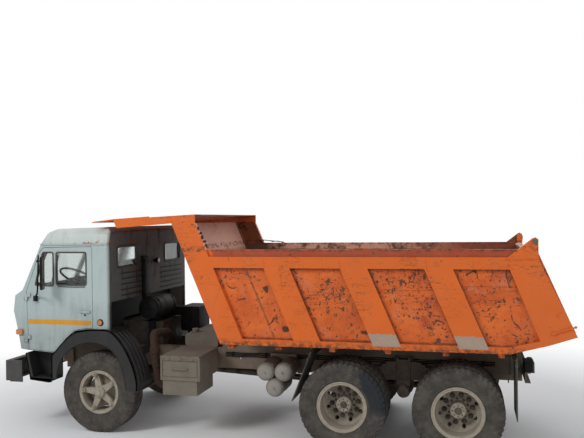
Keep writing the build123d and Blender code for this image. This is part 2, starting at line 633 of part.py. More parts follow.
def door():
    """Left door with its two window openings, its glass, hinge knuckles and handle."""
    slab = extrude(door_outline(DOOR_GAP), amount=60 + CAB_WALL, dir=(0, 1, 0))
    slab &= block((-1400, 400), (-CAB_HALF, -CAB_HALF + CAB_WALL), (900, 2600))
    glass = None
    for window in (DOOR_WINDOW, QUARTER_WINDOW):
        hole = side_plate(window, (-CAB_HALF - 10, -CAB_HALF + CAB_WALL + 10))
        slab -= hole
        pane = hole & block((-1400, 400), (-CAB_HALF + 14, -CAB_HALF + 14 + PANE), (900, 2600))
        glass = pane if glass is None else together(glass, pane)
    for z in (1150, 1700):
        low = z + 45 + SLIP
        slab += rod((HINGE_X, -CAB_HALF - HINGE_OUT, low), (HINGE_X, -CAB_HALF - HINGE_OUT, low + 45), HINGE_R)
        slab += block((HINGE_X, HINGE_X + 50), (-CAB_HALF - HINGE_OUT - 4, -CAB_HALF), (low, low + 45))
    handle = block((-215, -60), (-CAB_HALF - 22, -CAB_HALF - 12), (1552, 1574))
    handle += block((-80, -60), (-CAB_HALF - 14, -CAB_HALF), (1550, 1578)) + block((-215, -195), (-CAB_HALF - 14, -CAB_HALF), (1554, 1572))
    return slab + handle, glass


def mirror_arm():
    """Left mirror: foot on the door, bent arm and tall narrow head."""
    foot = block((-868, -820), (-CAB_HALF - 40, -CAB_HALF), (1690, 1760))
    bend_y = -CAB_HALF - 100
    stem_y = -CAB_HALF - 200
    arm = rod((-845, -CAB_HALF - 20, 1740), (-760, bend_y, 1800), 11)
    arm += rod((-760, bend_y, 1800), (-690, stem_y, 1830), 11)
    arm += rod((-690, stem_y, 1815), (-672, stem_y, 2300), 10)
    head = block((-668, -640), (stem_y - 90, stem_y + 80), (1860, 2285))
    return foot + arm + fillet(head.edges().filter_by(Axis.X), 30)


def cab_floor():
    """Floor pan with its foot wells, engine cover and the panel behind the seats."""
    wide = CAB_HALF - CAB_WALL
    hump = ENGINE_HUMP_HALF
    pan = both(block((-560, -20), (-wide, -hump), (FLOOR_Z, FLOOR_Z + PANEL)))
    pan += both(block((-1040, -560), (-wide, -hump), (FOOT_Z + 65, FOOT_Z + 65 + PANEL)))
    pan += both(block((-580, -560), (-wide, -hump), (FOOT_Z + 65, FLOOR_Z + PANEL)))
    cover = block((-1040, -20), (-hump, hump), (FOOT_Z + 65, ENGINE_HUMP_TOP))
    cover -= block((-1060, 0), (-hump + PANEL, hump - PANEL), (FOOT_Z, ENGINE_HUMP_TOP - PANEL))
    back = block((-40, -20), (-wide, wide), (FLOOR_Z, BACK_Z))
    back -= block((-60, 0), (-hump + PANEL, hump - PANEL), (FLOOR_Z - 10, ENGINE_HUMP_TOP - PANEL))
    mount = block((-900, -840), (-RAIL_OUTER_Y, -hump - 2), (RAIL_TOP, FOOT_Z + 65))
    return pan + cover + back + both(mount)


def seats():
    parts = []
    for y in SEAT_Y:
        floor = ENGINE_HUMP_TOP if y == 0 else FLOOR_Z + PANEL
        half = 190 if y == 0 else 245
        base = block((-480, -90), (y - half + 40, y + half - 40), (floor, SEAT_TOP - 130))
        cushion = fillet(block((-520, -60), (y - half, y + half), (SEAT_TOP - 130, SEAT_TOP)).edges().filter_by(Axis.Y), 40)
        rest = side_plate([(-150, SEAT_TOP), (-60, SEAT_TOP), (-45, SEAT_TOP + 560), (-110, SEAT_TOP + 560)], (y - half, y + half))
        parts.append(base + cushion + rest)
    return together(*parts)


def dashboard():
    desk = side_plate([(-1050, 1500), (-860, 1540), (-830, 1600), (-850, 1770), (-1050, 1760)],
                      (-CAB_HALF + CAB_WALL + 10, CAB_HALF - CAB_WALL - 10))
    desk += both(block((-1050, -1010), (-CAB_HALF + CAB_WALL, -CAB_HALF + CAB_WALL + 20), (1520, 1740)))
    top = Vector(STEER_TOP[0], STEER_Y, STEER_TOP[1])
    column = rod(tuple(top - steering_axis() * 880), tuple(top - steering_axis() * (45 + SLIP)), 28)
    bracket = block((-850, -740), (STEER_Y - 30, STEER_Y + 30), (1570, 1640))
    return desk + column + bracket


def steering_axis():
    lean = radians(STEER_LEAN)
    return Vector(sin(lean), 0, cos(lean))


def steering_wheel():
    """Two-spoke wheel turned about its leaning column."""
    hub = Plane(origin=(STEER_TOP[0], STEER_Y, STEER_TOP[1]), z_dir=steering_axis())
    ring = hub * Torus(STEER_WHEEL_R, 14)
    boss = hub * Pos(0, 0, -20) * Cylinder(38, 50)
    spokes = hub * Pos(0, 0, -8) * Box(34, 2 * STEER_WHEEL_R, 12)
    return ring + boss + spokes


def front_mudguard():
    """Left arch over the front tyre, its outer face, the rear flap and the step ahead of the wheel."""
    face = make_face(Polyline(*[(px, -GUARD_OUT, pz) for px, pz in GUARD_FACE], close=True))
    skin = extrude(face, amount=GUARD_WALL, dir=(0, 1, 0))
    band = None
    for (ax, az, inner_y), (bx, bz, _) in zip(GUARD_TOP, GUARD_TOP[1:]):
        turn = atan2(bz - az, bx - ax)
        dx = GUARD_WALL * sin(turn)
        dz = -GUARD_WALL * cos(turn)
        strip = side_plate([(ax, az), (bx, bz), (bx + dx, bz + dz), (ax + dx, az + dz)], (-GUARD_OUT, -inner_y))
        band = strip if band is None else band + strip
    step = block((-900, -584), (-GUARD_OUT, -1000), (650, 672)) + block((-905, -889), (-GUARD_OUT, -1000), (650, 1010))
    stay = block((470, 500), (-GUARD_REAR_Y - 20, -RAIL_OUTER_Y), (970, 1075))
    return skin + band + step + stay


# Side view of the arch's skin, each point with how far in the skin runs from there on
GUARD_TOP = [(-584, 690, GUARD_INNER_Y), (-584, 1010, GUARD_SIDE_Y), (-420, 1186, GUARD_SIDE_Y),
             (-284, 1306, GUARD_SIDE_Y), (-120, 1334, GUARD_SIDE_Y), (-25, SIDE_BOTTOM - SLIP, GUARD_SIDE_Y),
             (250, SIDE_BOTTOM - SLIP, GUARD_REAR_Y), (430, 1160, GUARD_REAR_Y), (560, 900, GUARD_REAR_Y),
             (612, 690, GUARD_REAR_Y), (604, 590, GUARD_REAR_Y)]
GUARD_FACE = [(-632, 650), (-584, 690), (-558, 690), (-489, 941), (-222, 1146), (125, 1185), (210, 1150), (328, 1035),
              (395, 827), (436, 612), (545, 577), (604, 590), (612, 690), (560, 900), (430, 1160),
              (250, SIDE_BOTTOM - SLIP), (-25, SIDE_BOTTOM - SLIP), (-120, 1334), (-284, 1306), (-420, 1186),
              (-584, 1010), (-950, 1034), (-905, 724)]


# Bed

def lean_x(x, z, z_ref):
    return x - (z - z_ref) * LEAN


def leaning(x, length, z, z_ref):
    """A band of the side that leans forwards from its lower to its upper edge."""
    return [(lean_x(x, z[0], z_ref), z[0]), (lean_x(x, z[0], z_ref) + length, z[0]),
            (lean_x(x, z[1], z_ref) + length, z[1]), (lean_x(x, z[1], z_ref), z[1])]


def bed_profile(inner):
    top = BED_TOP
    floor = BED_FLOOR if inner else 0
    front = BED_WALL if inner else 0
    up = 400 if inner else 0
    z0 = BED_FLOOR_Z + floor
    tail_x = KICK[1][0] + (60 if inner else 0)
    return [(lean_x(BED_FRONT, z0, BED_FLOOR_Z) + front, z0), (KICK_START, z0), (KICK[0][0], KICK[0][1] + floor),
            (tail_x, KICK[1][1] + floor + (20 if inner else 0)),
            (GATE_PIN[0] + 20 + (60 if inner else 0), top + up),
            (lean_x(BED_FRONT, top + up, BED_FLOOR_Z) + front, top + up)]


def bed_shell():
    """Floor, side walls, leaning front wall, and the sills that rest on the subframe."""
    shell = side_plate(bed_profile(False), (-BED_WALL_OUT, BED_WALL_OUT))
    shell -= side_plate(bed_profile(True), (-BED_WALL_OUT + BED_WALL, BED_WALL_OUT - BED_WALL))
    wall_top = BED_CANOPY_BASE
    front = side_plate(leaning(BED_FRONT, BED_WALL, (BED_TOP, wall_top), BED_FLOOR_Z), (-BED_WALL_OUT, BED_WALL_OUT))
    sill = block((BED_FRONT + 60, TIP_X - 40), (-SILL_HALF_INNER - SILL_WIDTH, -SILL_HALF_INNER), (SUB_TOP - 24, BED_FLOOR_Z))
    eye = side_plate([(TIP_X - 90, SUB_TOP - 24), (TIP_X - 50, TIP_Z - 45), (TIP_X + 20, TIP_Z - 50), (TIP_X + 52, TIP_Z),
                      (TIP_X + 52, BED_FLOOR_Z + 10), (TIP_X - 90, BED_FLOOR_Z + 10)],
                     (-SILL_HALF_INNER - SILL_WIDTH, -SILL_HALF_INNER))
    eye -= rod((TIP_X, -700, TIP_Z), (TIP_X, 0, TIP_Z), TIP_PIN_R + SLIP)
    bearers = None
    for x in BEARERS:
        bearer = block((x, x + 70), (-BED_WALL_OUT, -SILL_HALF_INNER - SILL_WIDTH), (BED_FLOOR_Z - 55, BED_FLOOR_Z))
        bearers = bearer if bearers is None else bearers + bearer
    ear_x, ear_z = HOIST_EYE
    lugs = None
    for y in (-HOIST_Y - 67, -HOIST_Y + 47):
        lug = side_plate([(ear_x - 70, BED_FLOOR_Z), (ear_x + 70, BED_FLOOR_Z), (ear_x + 34, ear_z - 30),
                          (ear_x - 34, ear_z - 30)], (y, y + 20))
        lugs = lug if lugs is None else lugs + lug
    pin = rod((ear_x, -HOIST_Y - 75, ear_z), (ear_x, HOIST_Y + 75, ear_z), EYE_PIN_R)
    return shell + front + both(sill + eye + bearers + lugs) + pin


def bed_frames():
    """Rails, leaning ribs and posts, and the ears for the tailgate's pins, on the left wall."""
    y = (-BED_HALF, -BED_WALL_OUT)
    rail = [(BED_FRONT, BED_FLOOR_Z), (KICK_START, BED_FLOOR_Z), KICK[0], KICK[1], (KICK[1][0] - 22, KICK[1][1] + 46),
            (KICK[0][0] - 18, KICK[0][1] + 60), (KICK_START - 10, SILL_TOP_RAIL),
            (lean_x(BED_FRONT, SILL_TOP_RAIL, BED_FLOOR_Z), SILL_TOP_RAIL)]
    frames = side_plate(rail, y)
    top_front = lean_x(BED_FRONT, RAIL_LOW, BED_FLOOR_Z)
    frames += side_plate([(top_front, RAIL_LOW), (REAR_EDGE_X(RAIL_LOW), RAIL_LOW), (REAR_EDGE_X(RAIL_HIGH), RAIL_HIGH),
                          (lean_x(BED_FRONT, RAIL_HIGH, BED_FLOOR_Z), RAIL_HIGH)], y)
    frames += side_plate([(lean_x(BED_FRONT, RAIL_HIGH, BED_FLOOR_Z), RAIL_HIGH), (REAR_EDGE_X(RAIL_HIGH), RAIL_HIGH),
                          (REAR_EDGE_X(BED_TOP), BED_TOP), (lean_x(BED_FRONT, BED_TOP, BED_FLOOR_Z), BED_TOP)],
                         (-BED_WALL_OUT - 26, -BED_WALL_OUT))
    frames += side_plate(leaning(BED_FRONT, POST_LENGTH, (BED_FLOOR_Z, BED_CANOPY_BASE), BED_FLOOR_Z), y)
    for x in RIBS_AT_RAIL:
        frames += side_plate(leaning(x, RIB_LENGTH, (SILL_TOP_RAIL - 4, RAIL_LOW), RAIL_LOW), y)
    frames += side_plate([(5411, 1304), (5483, 1324), KICK[1], (REAR_EDGE_X(RAIL_HIGH), RAIL_HIGH), (5035, RAIL_HIGH - 20)], y)
    ear = side_plate([(5035, 2255), (5320, 2480), (5350, 2492), (5378, 2470), (REAR_EDGE_X(2255), 2255)], y)
    ear -= rod((GATE_PIN[0], -1300, GATE_PIN[1]), (GATE_PIN[0], -1100, GATE_PIN[1]), GATE_PIN_R + SLIP)
    return frames + ear


def REAR_EDGE_X(z):
    return KICK[1][0] - (z - KICK[1][1]) * (KICK[1][0] - GATE_PIN[0] - 20) / (2288 - KICK[1][1])


def bed_canopy():
    """Guard plate over the cab with its folded side skirts, carried by the front posts."""
    front_x = lean_x(BED_FRONT, BED_CANOPY_BASE, BED_FLOOR_Z)
    rear_x = front_x + POST_LENGTH

    def deck_z(x):
        return CANOPY_TOP_FRONT + (x - CANOPY_FRONT) * CANOPY_FALL / (rear_x - CANOPY_FRONT)

    def sheet(x0, z0, x1, z1):
        return side_plate([(x0, z0 - CANOPY_PLATE), (x1, z1 - CANOPY_PLATE), (x1, z1), (x0, z0)], (-BED_HALF, BED_HALF))

    canopy = sheet(CANOPY_FRONT, CANOPY_TOP_FRONT, rear_x, CANOPY_TOP_REAR)
    canopy += sheet(LIP_FRONT, CANOPY_TOP_FRONT - LIP_DROP, CANOPY_FRONT, CANOPY_TOP_FRONT)
    skirt = [(CANOPY_FRONT + 45, CANOPY_TOP_FRONT - SKIRT), (front_x, BED_CANOPY_BASE), (rear_x, BED_CANOPY_BASE),
             (rear_x, CANOPY_TOP_REAR), (CANOPY_FRONT, CANOPY_TOP_FRONT)]
    canopy += both(side_plate(skirt, (-BED_HALF, -BED_HALF + 12)))
    for i in range(5):
        x = CANOPY_FRONT + 60 + i * 160
        z = deck_z(x) - CANOPY_PLATE
        canopy += block((x, x + 40), (-BED_HALF, BED_HALF), (z - 28, z + 4))
    return canopy


def tailgate():
    """Ribbed gate between the side walls, hung from pins in the ears."""
    low = (KICK[1][0] - 6, KICK[1][1] + 34)
    top = (REAR_EDGE_X(BED_TOP) - 6, BED_TOP)
    half = BED_WALL_OUT - BED_WALL - CLEAR
    slope = atan2(top[1] - low[1], top[0] - low[0])
    nx, nz = -sin(slope), cos(slope)

    def gate_point(t, out):
        return (low[0] + (top[0] - low[0]) * t + nx * out, low[1] + (top[1] - low[1]) * t + nz * out)

    plate = side_plate([gate_point(0, 0), gate_point(1, 0), gate_point(1, 14), gate_point(0, 14)], (-half, half))
    for t in (0, 0.3, 0.62, 0.93):
        plate += side_plate([gate_point(t, 0), gate_point(t + 0.07, 0), gate_point(t + 0.07, GATE_THICK), gate_point(t, GATE_THICK)], (-half, half))
    arm = side_plate([gate_point(0.9, 0), gate_point(0.9, GATE_THICK), (GATE_PIN[0] - 42, GATE_PIN[1] - 10), (GATE_PIN[0] - 25, GATE_PIN[1] + 30),
                      (GATE_PIN[0] + 25, GATE_PIN[1] + 30), (GATE_PIN[0] + 42, GATE_PIN[1] - 10)], (-half, -half + 30))
    pin = rod((GATE_PIN[0], -BED_HALF - 12, GATE_PIN[1]), (GATE_PIN[0], -half + 4, GATE_PIN[1]), GATE_PIN_R)
    return plate + both(arm + pin)


# Hoist

def hoist_line():
    foot = Vector(HOIST_FOOT[0], 0, HOIST_FOOT[1])
    eye = Vector(HOIST_EYE[0], 0, HOIST_EYE[1])
    return foot, (eye - foot).normalized(), (eye - foot).length


def hoist_parts():
    """Barrels on their trunnions and three drawn tubes each, the last with an open eye under the bed."""
    foot, way, length = hoist_line()
    aside = Vector(0, -HOIST_Y, 0)

    def run(start, end, radius):
        return rod(tuple(foot + aside + way * start), tuple(foot + aside + way * end), radius)

    top = length - HOIST_HEAD_R - 12
    parts = []
    for i, radius in enumerate(HOIST_RADII[:3]):
        end = top - 12 * (2 - i)
        start = -HOIST_BELOW if i == 0 else -HOIST_BELOW + 17
        bore_start = start + 15 if i == 0 else start - 5
        parts.append(run(start, end, radius) - run(bore_start, end + 5, HOIST_RADII[i + 1] + 1))
    ram = run(-HOIST_BELOW + 17, length - 10, HOIST_RADII[3])
    ex, ez = HOIST_EYE
    y = (-HOIST_Y - HEAD_HALF_WIDTH, -HOIST_Y + HEAD_HALF_WIDTH)
    head = rod((ex, y[0], ez), (ex, y[1], ez), HOIST_HEAD_R)
    bore = rod((ex, -HOIST_Y - 50, ez), (ex, -HOIST_Y + 50, ez), EYE_PIN_R + 1)
    mouth = rod((ex, -HOIST_Y - 50, ez), (ex, -HOIST_Y + 50, ez), HOIST_HEAD_R + 30)
    opens = radians(HEAD_OPENS)
    far = 200
    corners = [(ex + far * cos(opens + turn), ez + far * sin(opens + turn)) for turn in (-pi / 2, -pi / 4, pi / 4, pi / 2)]
    mouth &= side_plate(corners, (-HOIST_Y - 60, -HOIST_Y + 60))
    parts.append(ram + head - bore - mouth)
    fx, fz = HOIST_FOOT
    outer_ear = rod((fx, -HOIST_Y - HOIST_RADII[0] - 45, fz), (fx, -HOIST_Y - HOIST_RADII[1] - 5, fz), TRUNNION_R)
    link = rod((fx, -HOIST_Y + HOIST_RADII[1] + 5, fz), (fx, 0, fz), TRUNNION_R)
    parts[0] = both(parts[0] + outer_ear + link)
    return [parts[0]] + [pair(part) for part in parts[1:]]


def main():
    os.makedirs("parts", exist_ok=True)
    wheels()
    save("chassis_frame", chassis_frame())
    save("tipping_subframe", tipping_subframe())
    save("front_bumper", front_bumper())
    save("engine_and_gearbox", engine_block())
    save("rear_axles_and_shafts", drive_shafts())
    front_springs, rear_springs = leaf_springs()
    save("front_springs", front_springs)
    save("rear_springs", rear_springs)
    save("front_axle", front_axle())
    knuckle_left = knuckle()
    save("knuckle_left", knuckle_left)
    save("knuckle_right", right_of(knuckle_left))
    save("tie_rod", tie_rod())
    save("battery_box", battery_box())
    save("fuel_tank", fuel_tank())
    save("air_reservoirs", air_reservoirs())
    save("exhaust_pipe", exhaust_pipe())
    save("air_cleaner", air_cleaner())
    save("mudflaps", mudflaps())
    save("rear_lamps", rear_lamps())
    front, sides, rear, roof, shelf, panes, rear_panes = cab()
    save("cab_front", front)
    save("cab_sides", sides)
    save("cab_rear_wall", rear + shelf)
    save("cab_roof", roof)
    save("cab_glass", together(*panes, *rear_panes))
    save("cab_floor", cab_floor())
    save("seats", seats())
    save("dashboard", dashboard())
    save("steering_wheel", steering_wheel())
    slab, glass = door()
    save("door_left", slab)
    save("door_right", right_of(slab))
    save("door_glass_left", glass)
    save("door_glass_right", together(right_of(glass)))
    arm = mirror_arm()
    save("mirror_left", arm)
    save("mirror_right", right_of(arm))
    save("front_mudguards", pair(front_mudguard()))
    save("bed_shell", bed_shell())
    save("bed_frames", pair(bed_frames()))
    save("bed_canopy", bed_canopy())
    save("tailgate", tailgate())
    barrel, first, second, ram = hoist_parts()
    save("hoist_barrels", barrel)
    save("hoist_stage_1", first)
    save("hoist_stage_2", second)
    save("hoist_rams", ram)


if __name__ == "__main__":
    main()
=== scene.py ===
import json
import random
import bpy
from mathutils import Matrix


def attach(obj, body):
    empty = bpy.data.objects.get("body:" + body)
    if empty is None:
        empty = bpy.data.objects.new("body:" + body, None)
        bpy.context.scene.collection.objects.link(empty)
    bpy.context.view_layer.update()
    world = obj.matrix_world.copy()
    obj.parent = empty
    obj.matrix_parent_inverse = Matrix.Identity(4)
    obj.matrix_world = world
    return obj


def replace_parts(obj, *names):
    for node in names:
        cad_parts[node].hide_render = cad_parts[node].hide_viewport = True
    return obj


bl_info = {
    "name": "Dump truck",
    "version": (1, 0, 0),
    "blender": (4, 5, 0),
    "location": "3D View > Sidebar > Dump truck",
    "description": "Dresses the dump truck's solids with finishes, tread, trim and small fittings",
    "category": "Object",
}

from math import cos, pi, radians, sin

import bmesh
import bpy
from mathutils import Matrix, Vector

# Metres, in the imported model's frame: the truck faces -X, its left side is -Y and the ground is z = 0.
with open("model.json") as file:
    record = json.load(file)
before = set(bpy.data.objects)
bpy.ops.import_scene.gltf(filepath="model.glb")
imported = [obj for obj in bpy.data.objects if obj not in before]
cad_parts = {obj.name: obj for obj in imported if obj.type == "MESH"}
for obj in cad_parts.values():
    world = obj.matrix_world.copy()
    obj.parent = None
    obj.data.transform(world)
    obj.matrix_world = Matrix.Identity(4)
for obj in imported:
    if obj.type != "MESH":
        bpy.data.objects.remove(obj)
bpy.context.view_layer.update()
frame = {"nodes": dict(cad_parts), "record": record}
NODES = frame["nodes"]

# The source measures x from the front axle, the frame from the middle of the length
AXLE_X = -2.238
HUB_Z = 0.518
FRONT_WHEEL_Y = 1.005
REAR_WHEEL_Y = 0.925
REAR_WHEELS_X = (AXLE_X + 3.19, AXLE_X + 4.51)
TYRE_R = 0.518
TREAD_HALF_WIDTH = 0.106
TWIN_OFFSET = 0.16
FRONT_FLANGE_R = 0.272
REAR_FLANGE_R = 0.29
CAB_HALF = 1.2
CAB_BACK = 0.221
DRIVER_Y = -0.65
STEER_LEAN = radians(28)
RAIL_OUT = 0.432
BOGIE_X = 3.85
TRUNNION_Z = 0.597
U_BOLTS = [(x, y) for x in (3.776, 3.924) for y in (0.562, 0.45)]
AIR_TANKS = ((2.194, 0.837), (2.421, 0.839), (2.309, 0.644))
GUARD_OUT = 1.25
# The air cleaner's axis in side view, and its outer end
CLEANER_X, CLEANER_Z = 0.417, 1.531
CLEANER_END = -0.538
# The bed's pressed panels and its ribs lie this far out; both lean by the same slope
PANEL_OUT = 1.19
BED_OUT = 1.25
BED_LEAN = 0.4245
RIBS_AT_RAIL = (2.276, 3.2, 4.16)
RIB_LENGTH = 0.317
PANEL_LOW, PANEL_HIGH = 1.292, 2.136
GATE_PIN = (5.345, 2.449)
SIDES = (("left", -1), ("right", 1))
TURN = 2 * pi


def at(x, y, z):
    """A point given from the front axle, in the frame."""
    return Vector((x + AXLE_X, y, z))


class Wire:
    """An output socket of a finish, whose arithmetic adds Math nodes."""

    def __init__(self, finish, socket):
        self.finish = finish
        self.socket = socket

    def maths(self, operation, *values, clamp=False):
        """A Math node on the values."""
        settings = {"operation": operation, "use_clamp": clamp}
        return self.finish.node("ShaderNodeMath", settings, dict(enumerate(values)))

    def __add__(self, other):
        return self.maths("ADD", self, other)

    __radd__ = __add__

    def __sub__(self, other):
        return self.maths("SUBTRACT", self, other)

    def __rsub__(self, other):
        return self.maths("SUBTRACT", other, self)

    def __mul__(self, other):
        return self.maths("MULTIPLY", self, other)

    def __abs__(self):
        return self.maths("ABSOLUTE", self)

    def above(self, level, softness=0.02):
        """1 where the value is over the level, 0 where it is under, with a soft edge."""
        low, high = level - softness, level + softness
        return self.maths("MULTIPLY", self - low, 1.0 / (high - low), clamp=True)

    def below(self, level, softness=0.02):
        """1 where the value is under the level."""
        return 1.0 - self.above(level, softness)

    def near(self, level, reach, softness):
        """1 where the value is within reach of the level."""
        return abs(self - level).below(reach, softness)

    def larger(self, other):
        """The larger of two values."""
        return self.maths("MAXIMUM", self, other)

    def smaller(self, other):
        """The smaller of two values."""
        return self.maths("MINIMUM", self, other)


class Finish:
    """One material and the nodes that give it its wear."""

    def __init__(self, name, colour, roughness, metallic=0.0, coat=0.0, specular=0.5):
        self.material = bpy.data.materials.new(name)
        self.material.use_nodes = True
        self.tree = self.material.node_tree
        self.shader = self.tree.nodes["Principled BSDF"]
        for socket, value in (("Base Color", (*colour, 1.0)), ("Roughness", roughness),
                              ("Metallic", metallic), ("Coat Weight", coat),
                              ("Specular IOR Level", specular)):
            self.shader.inputs[socket].default_value = value
        self.coordinates = self.tree.nodes.new("ShaderNodeTexCoord").outputs["Object"]
        split = self.tree.nodes.new("ShaderNodeSeparateXYZ")
        self.tree.links.new(self.coordinates, split.inputs[0])
        self.x, self.y, self.z = (Wire(self, out) for out in split.outputs)

    def node(self, kind, settings=None, values=None, output=0):
        """Adds a node: its settings first, then the values or links of its sockets."""
        node = self.tree.nodes.new(kind)
        for key, value in (settings or {}).items():
            setattr(node, key, value)
        for key, value in (values or {}).items():
            self.plug(node.inputs[key], value)
        return Wire(self, node.outputs[output])

    def plug(self, socket, value):
        """Links or types a value into an input."""
        if isinstance(value, Wire):
            self.tree.links.new(value.socket, socket)
        elif isinstance(value, bpy.types.NodeSocket):
            self.tree.links.new(value, socket)
        else:
            socket.default_value = value

    def stretched(self, scale=(1.0, 1.0, 1.0)):
        """The piece's own coordinates, scaled by axis."""
        return self.node("ShaderNodeMapping", {"vector_type": "POINT"},
                         {"Vector": self.coordinates, "Scale": scale})

    def noise(self, size, detail=4.0, roughness=0.6, stretch=(1.0, 1.0, 1.0), shift=0.0):
        """Smooth noise whose blotches are about size metres across."""
        return self.node("ShaderNodeTexNoise", {"noise_dimensions": "4D"},
                         {"Vector": self.stretched(stretch), "W": shift, "Scale": 1.0 / size,
                          "Detail": detail, "Roughness": roughness})

    def cells(self, size):
        """Distance to the nearest of scattered points about size metres apart."""
        return self.node("ShaderNodeTexVoronoi", {"feature": "F1"},
                         {"Vector": self.stretched(), "Scale": 1.0 / size})

    def bands(self, direction, scale):
        """Fine even bands across one axis."""
        return self.node("ShaderNodeTexWave", {"bands_direction": direction},
                         {"Vector": self.stretched(), "Scale": scale})

    def mix(self, amount, first, second):
        """The second colour over the first, by amount."""
        pair = [(*c, 1.0) if isinstance(c, tuple) and len(c) == 3 else c for c in (first, second)]
        return self.node("ShaderNodeMix", {"data_type": "RGBA"}, {0: amount, 6: pair[0], 7: pair[1]}, 2)

    def length_of(self, first, second):
        """The length of the vector that two values make."""
        total = first * first + second * second
        return total.maths("SQRT", total)

    def seen(self):
        """1 for the rays of the camera and for those that metal and glass send on."""
        rays = self.tree.nodes.new("ShaderNodeLightPath").outputs
        kinds = [Wire(self, rays[f"Is {kind} Ray"]) for kind in ("Camera", "Glossy", "Transmission")]
        return kinds[0].larger(kinds[1]).larger(kinds[2])

    def bump(self, height, strength=0.3, distance=0.002):
        """Fine relief that follows the height."""
        normal = self.node("ShaderNodeBump", None,
                           {"Height": height, "Strength": strength, "Distance": distance})
        self.plug(self.shader.inputs["Normal"], normal)

    def set(self, colour, roughness=None):
        """Gives the shader its colour and, where one is named, its roughness."""
        self.plug(self.shader.inputs["Base Color"], colour)
        if roughness is not None:
            self.plug(self.shader.inputs["Roughness"], roughness)


def cab_paint(name):
    """Pale grey-blue paint, grimy below and darkened to near black behind the cab's back by painted shade and
    grime, with rust at the drip rail and an amber door stripe.
    """
    f = Finish(name, (0.34, 0.41, 0.42), 0.42, specular=0.3)
    x = f.x - AXLE_X
    blotch = f.noise(0.9, 5.0)
    tone = f.mix(blotch, (0.315, 0.378, 0.372), (0.415, 0.48, 0.468))
    stripe = x.near(-0.508, 0.464, 0.001) * f.z.near(1.42, 0.031, 0.001) * abs(f.y).above(1.15, 0.01)
    tone = f.mix(stripe, tone, f.mix(blotch, (0.56, 0.24, 0.01), (0.66, 0.33, 0.014)))
    streaks = f.noise(0.1, 6.0, 0.65, (1.0, 1.0, 0.16)) + f.noise(0.35, 4.0) * 0.5
    chalky = f.z.above(2.5, 0.12) * f.noise(0.4, 6.0).above(0.4, 0.2)
    tone = f.mix(chalky * 0.75, tone, (0.6, 0.6, 0.55))
    grime_and_shade = streaks.above(0.92, 0.14) * 0.3 + f.z.below(1.25, 0.45) * streaks.above(0.62, 0.2) * 0.55
    # Behind the cab's back the mask rises nearly to full and the colours turn near black: painted shade under
    # the canopy, with some grime.
    behind = x.above(0.2, 0.03)
    grime_and_shade = (grime_and_shade + behind * 0.97).smaller(0.97)
    deep_grime_and_shade = f.mix(behind, (0.05, 0.042, 0.034), (0.01, 0.009, 0.008))
    pale_grime_and_shade = f.mix(behind, (0.095, 0.084, 0.07), (0.034, 0.03, 0.027))
    tone = f.mix(grime_and_shade, tone, f.mix(f.noise(0.07, 6.0), deep_grime_and_shade, pale_grime_and_shade))
    near_drip = f.z.near(2.445, 0.045, 0.05)
    near_rear = x.near(0.2, 0.05, 0.05)
    seams = (near_drip * (0.35 + x.above(-0.45, 0.3) * 0.5)).larger(near_rear * 0.45)
    rust = (f.noise(0.055, 8.0, 0.75) + seams * 0.22).above(0.715, 0.035)
    rust = rust.larger((f.cells(0.11) * 0.5 + f.noise(0.02, 3.0) * 0.5).below(0.225, 0.01))
    tone = f.mix(rust, tone, f.mix(f.noise(0.018, 5.0), (0.16, 0.045, 0.016), (0.34, 0.14, 0.055)))
    f.set(colour=tone, roughness=(0.34 + f.noise(0.2, 5.0) * 0.18 + grime_and_shade * 0.35 + rust * 0.3).smaller(0.95))
    f.bump(f.noise(0.012, 5.0) * 0.35 - rust * 0.7 + f.noise(0.3, 2.0) * 2.0, 0.16, 0.002)
    return f.material


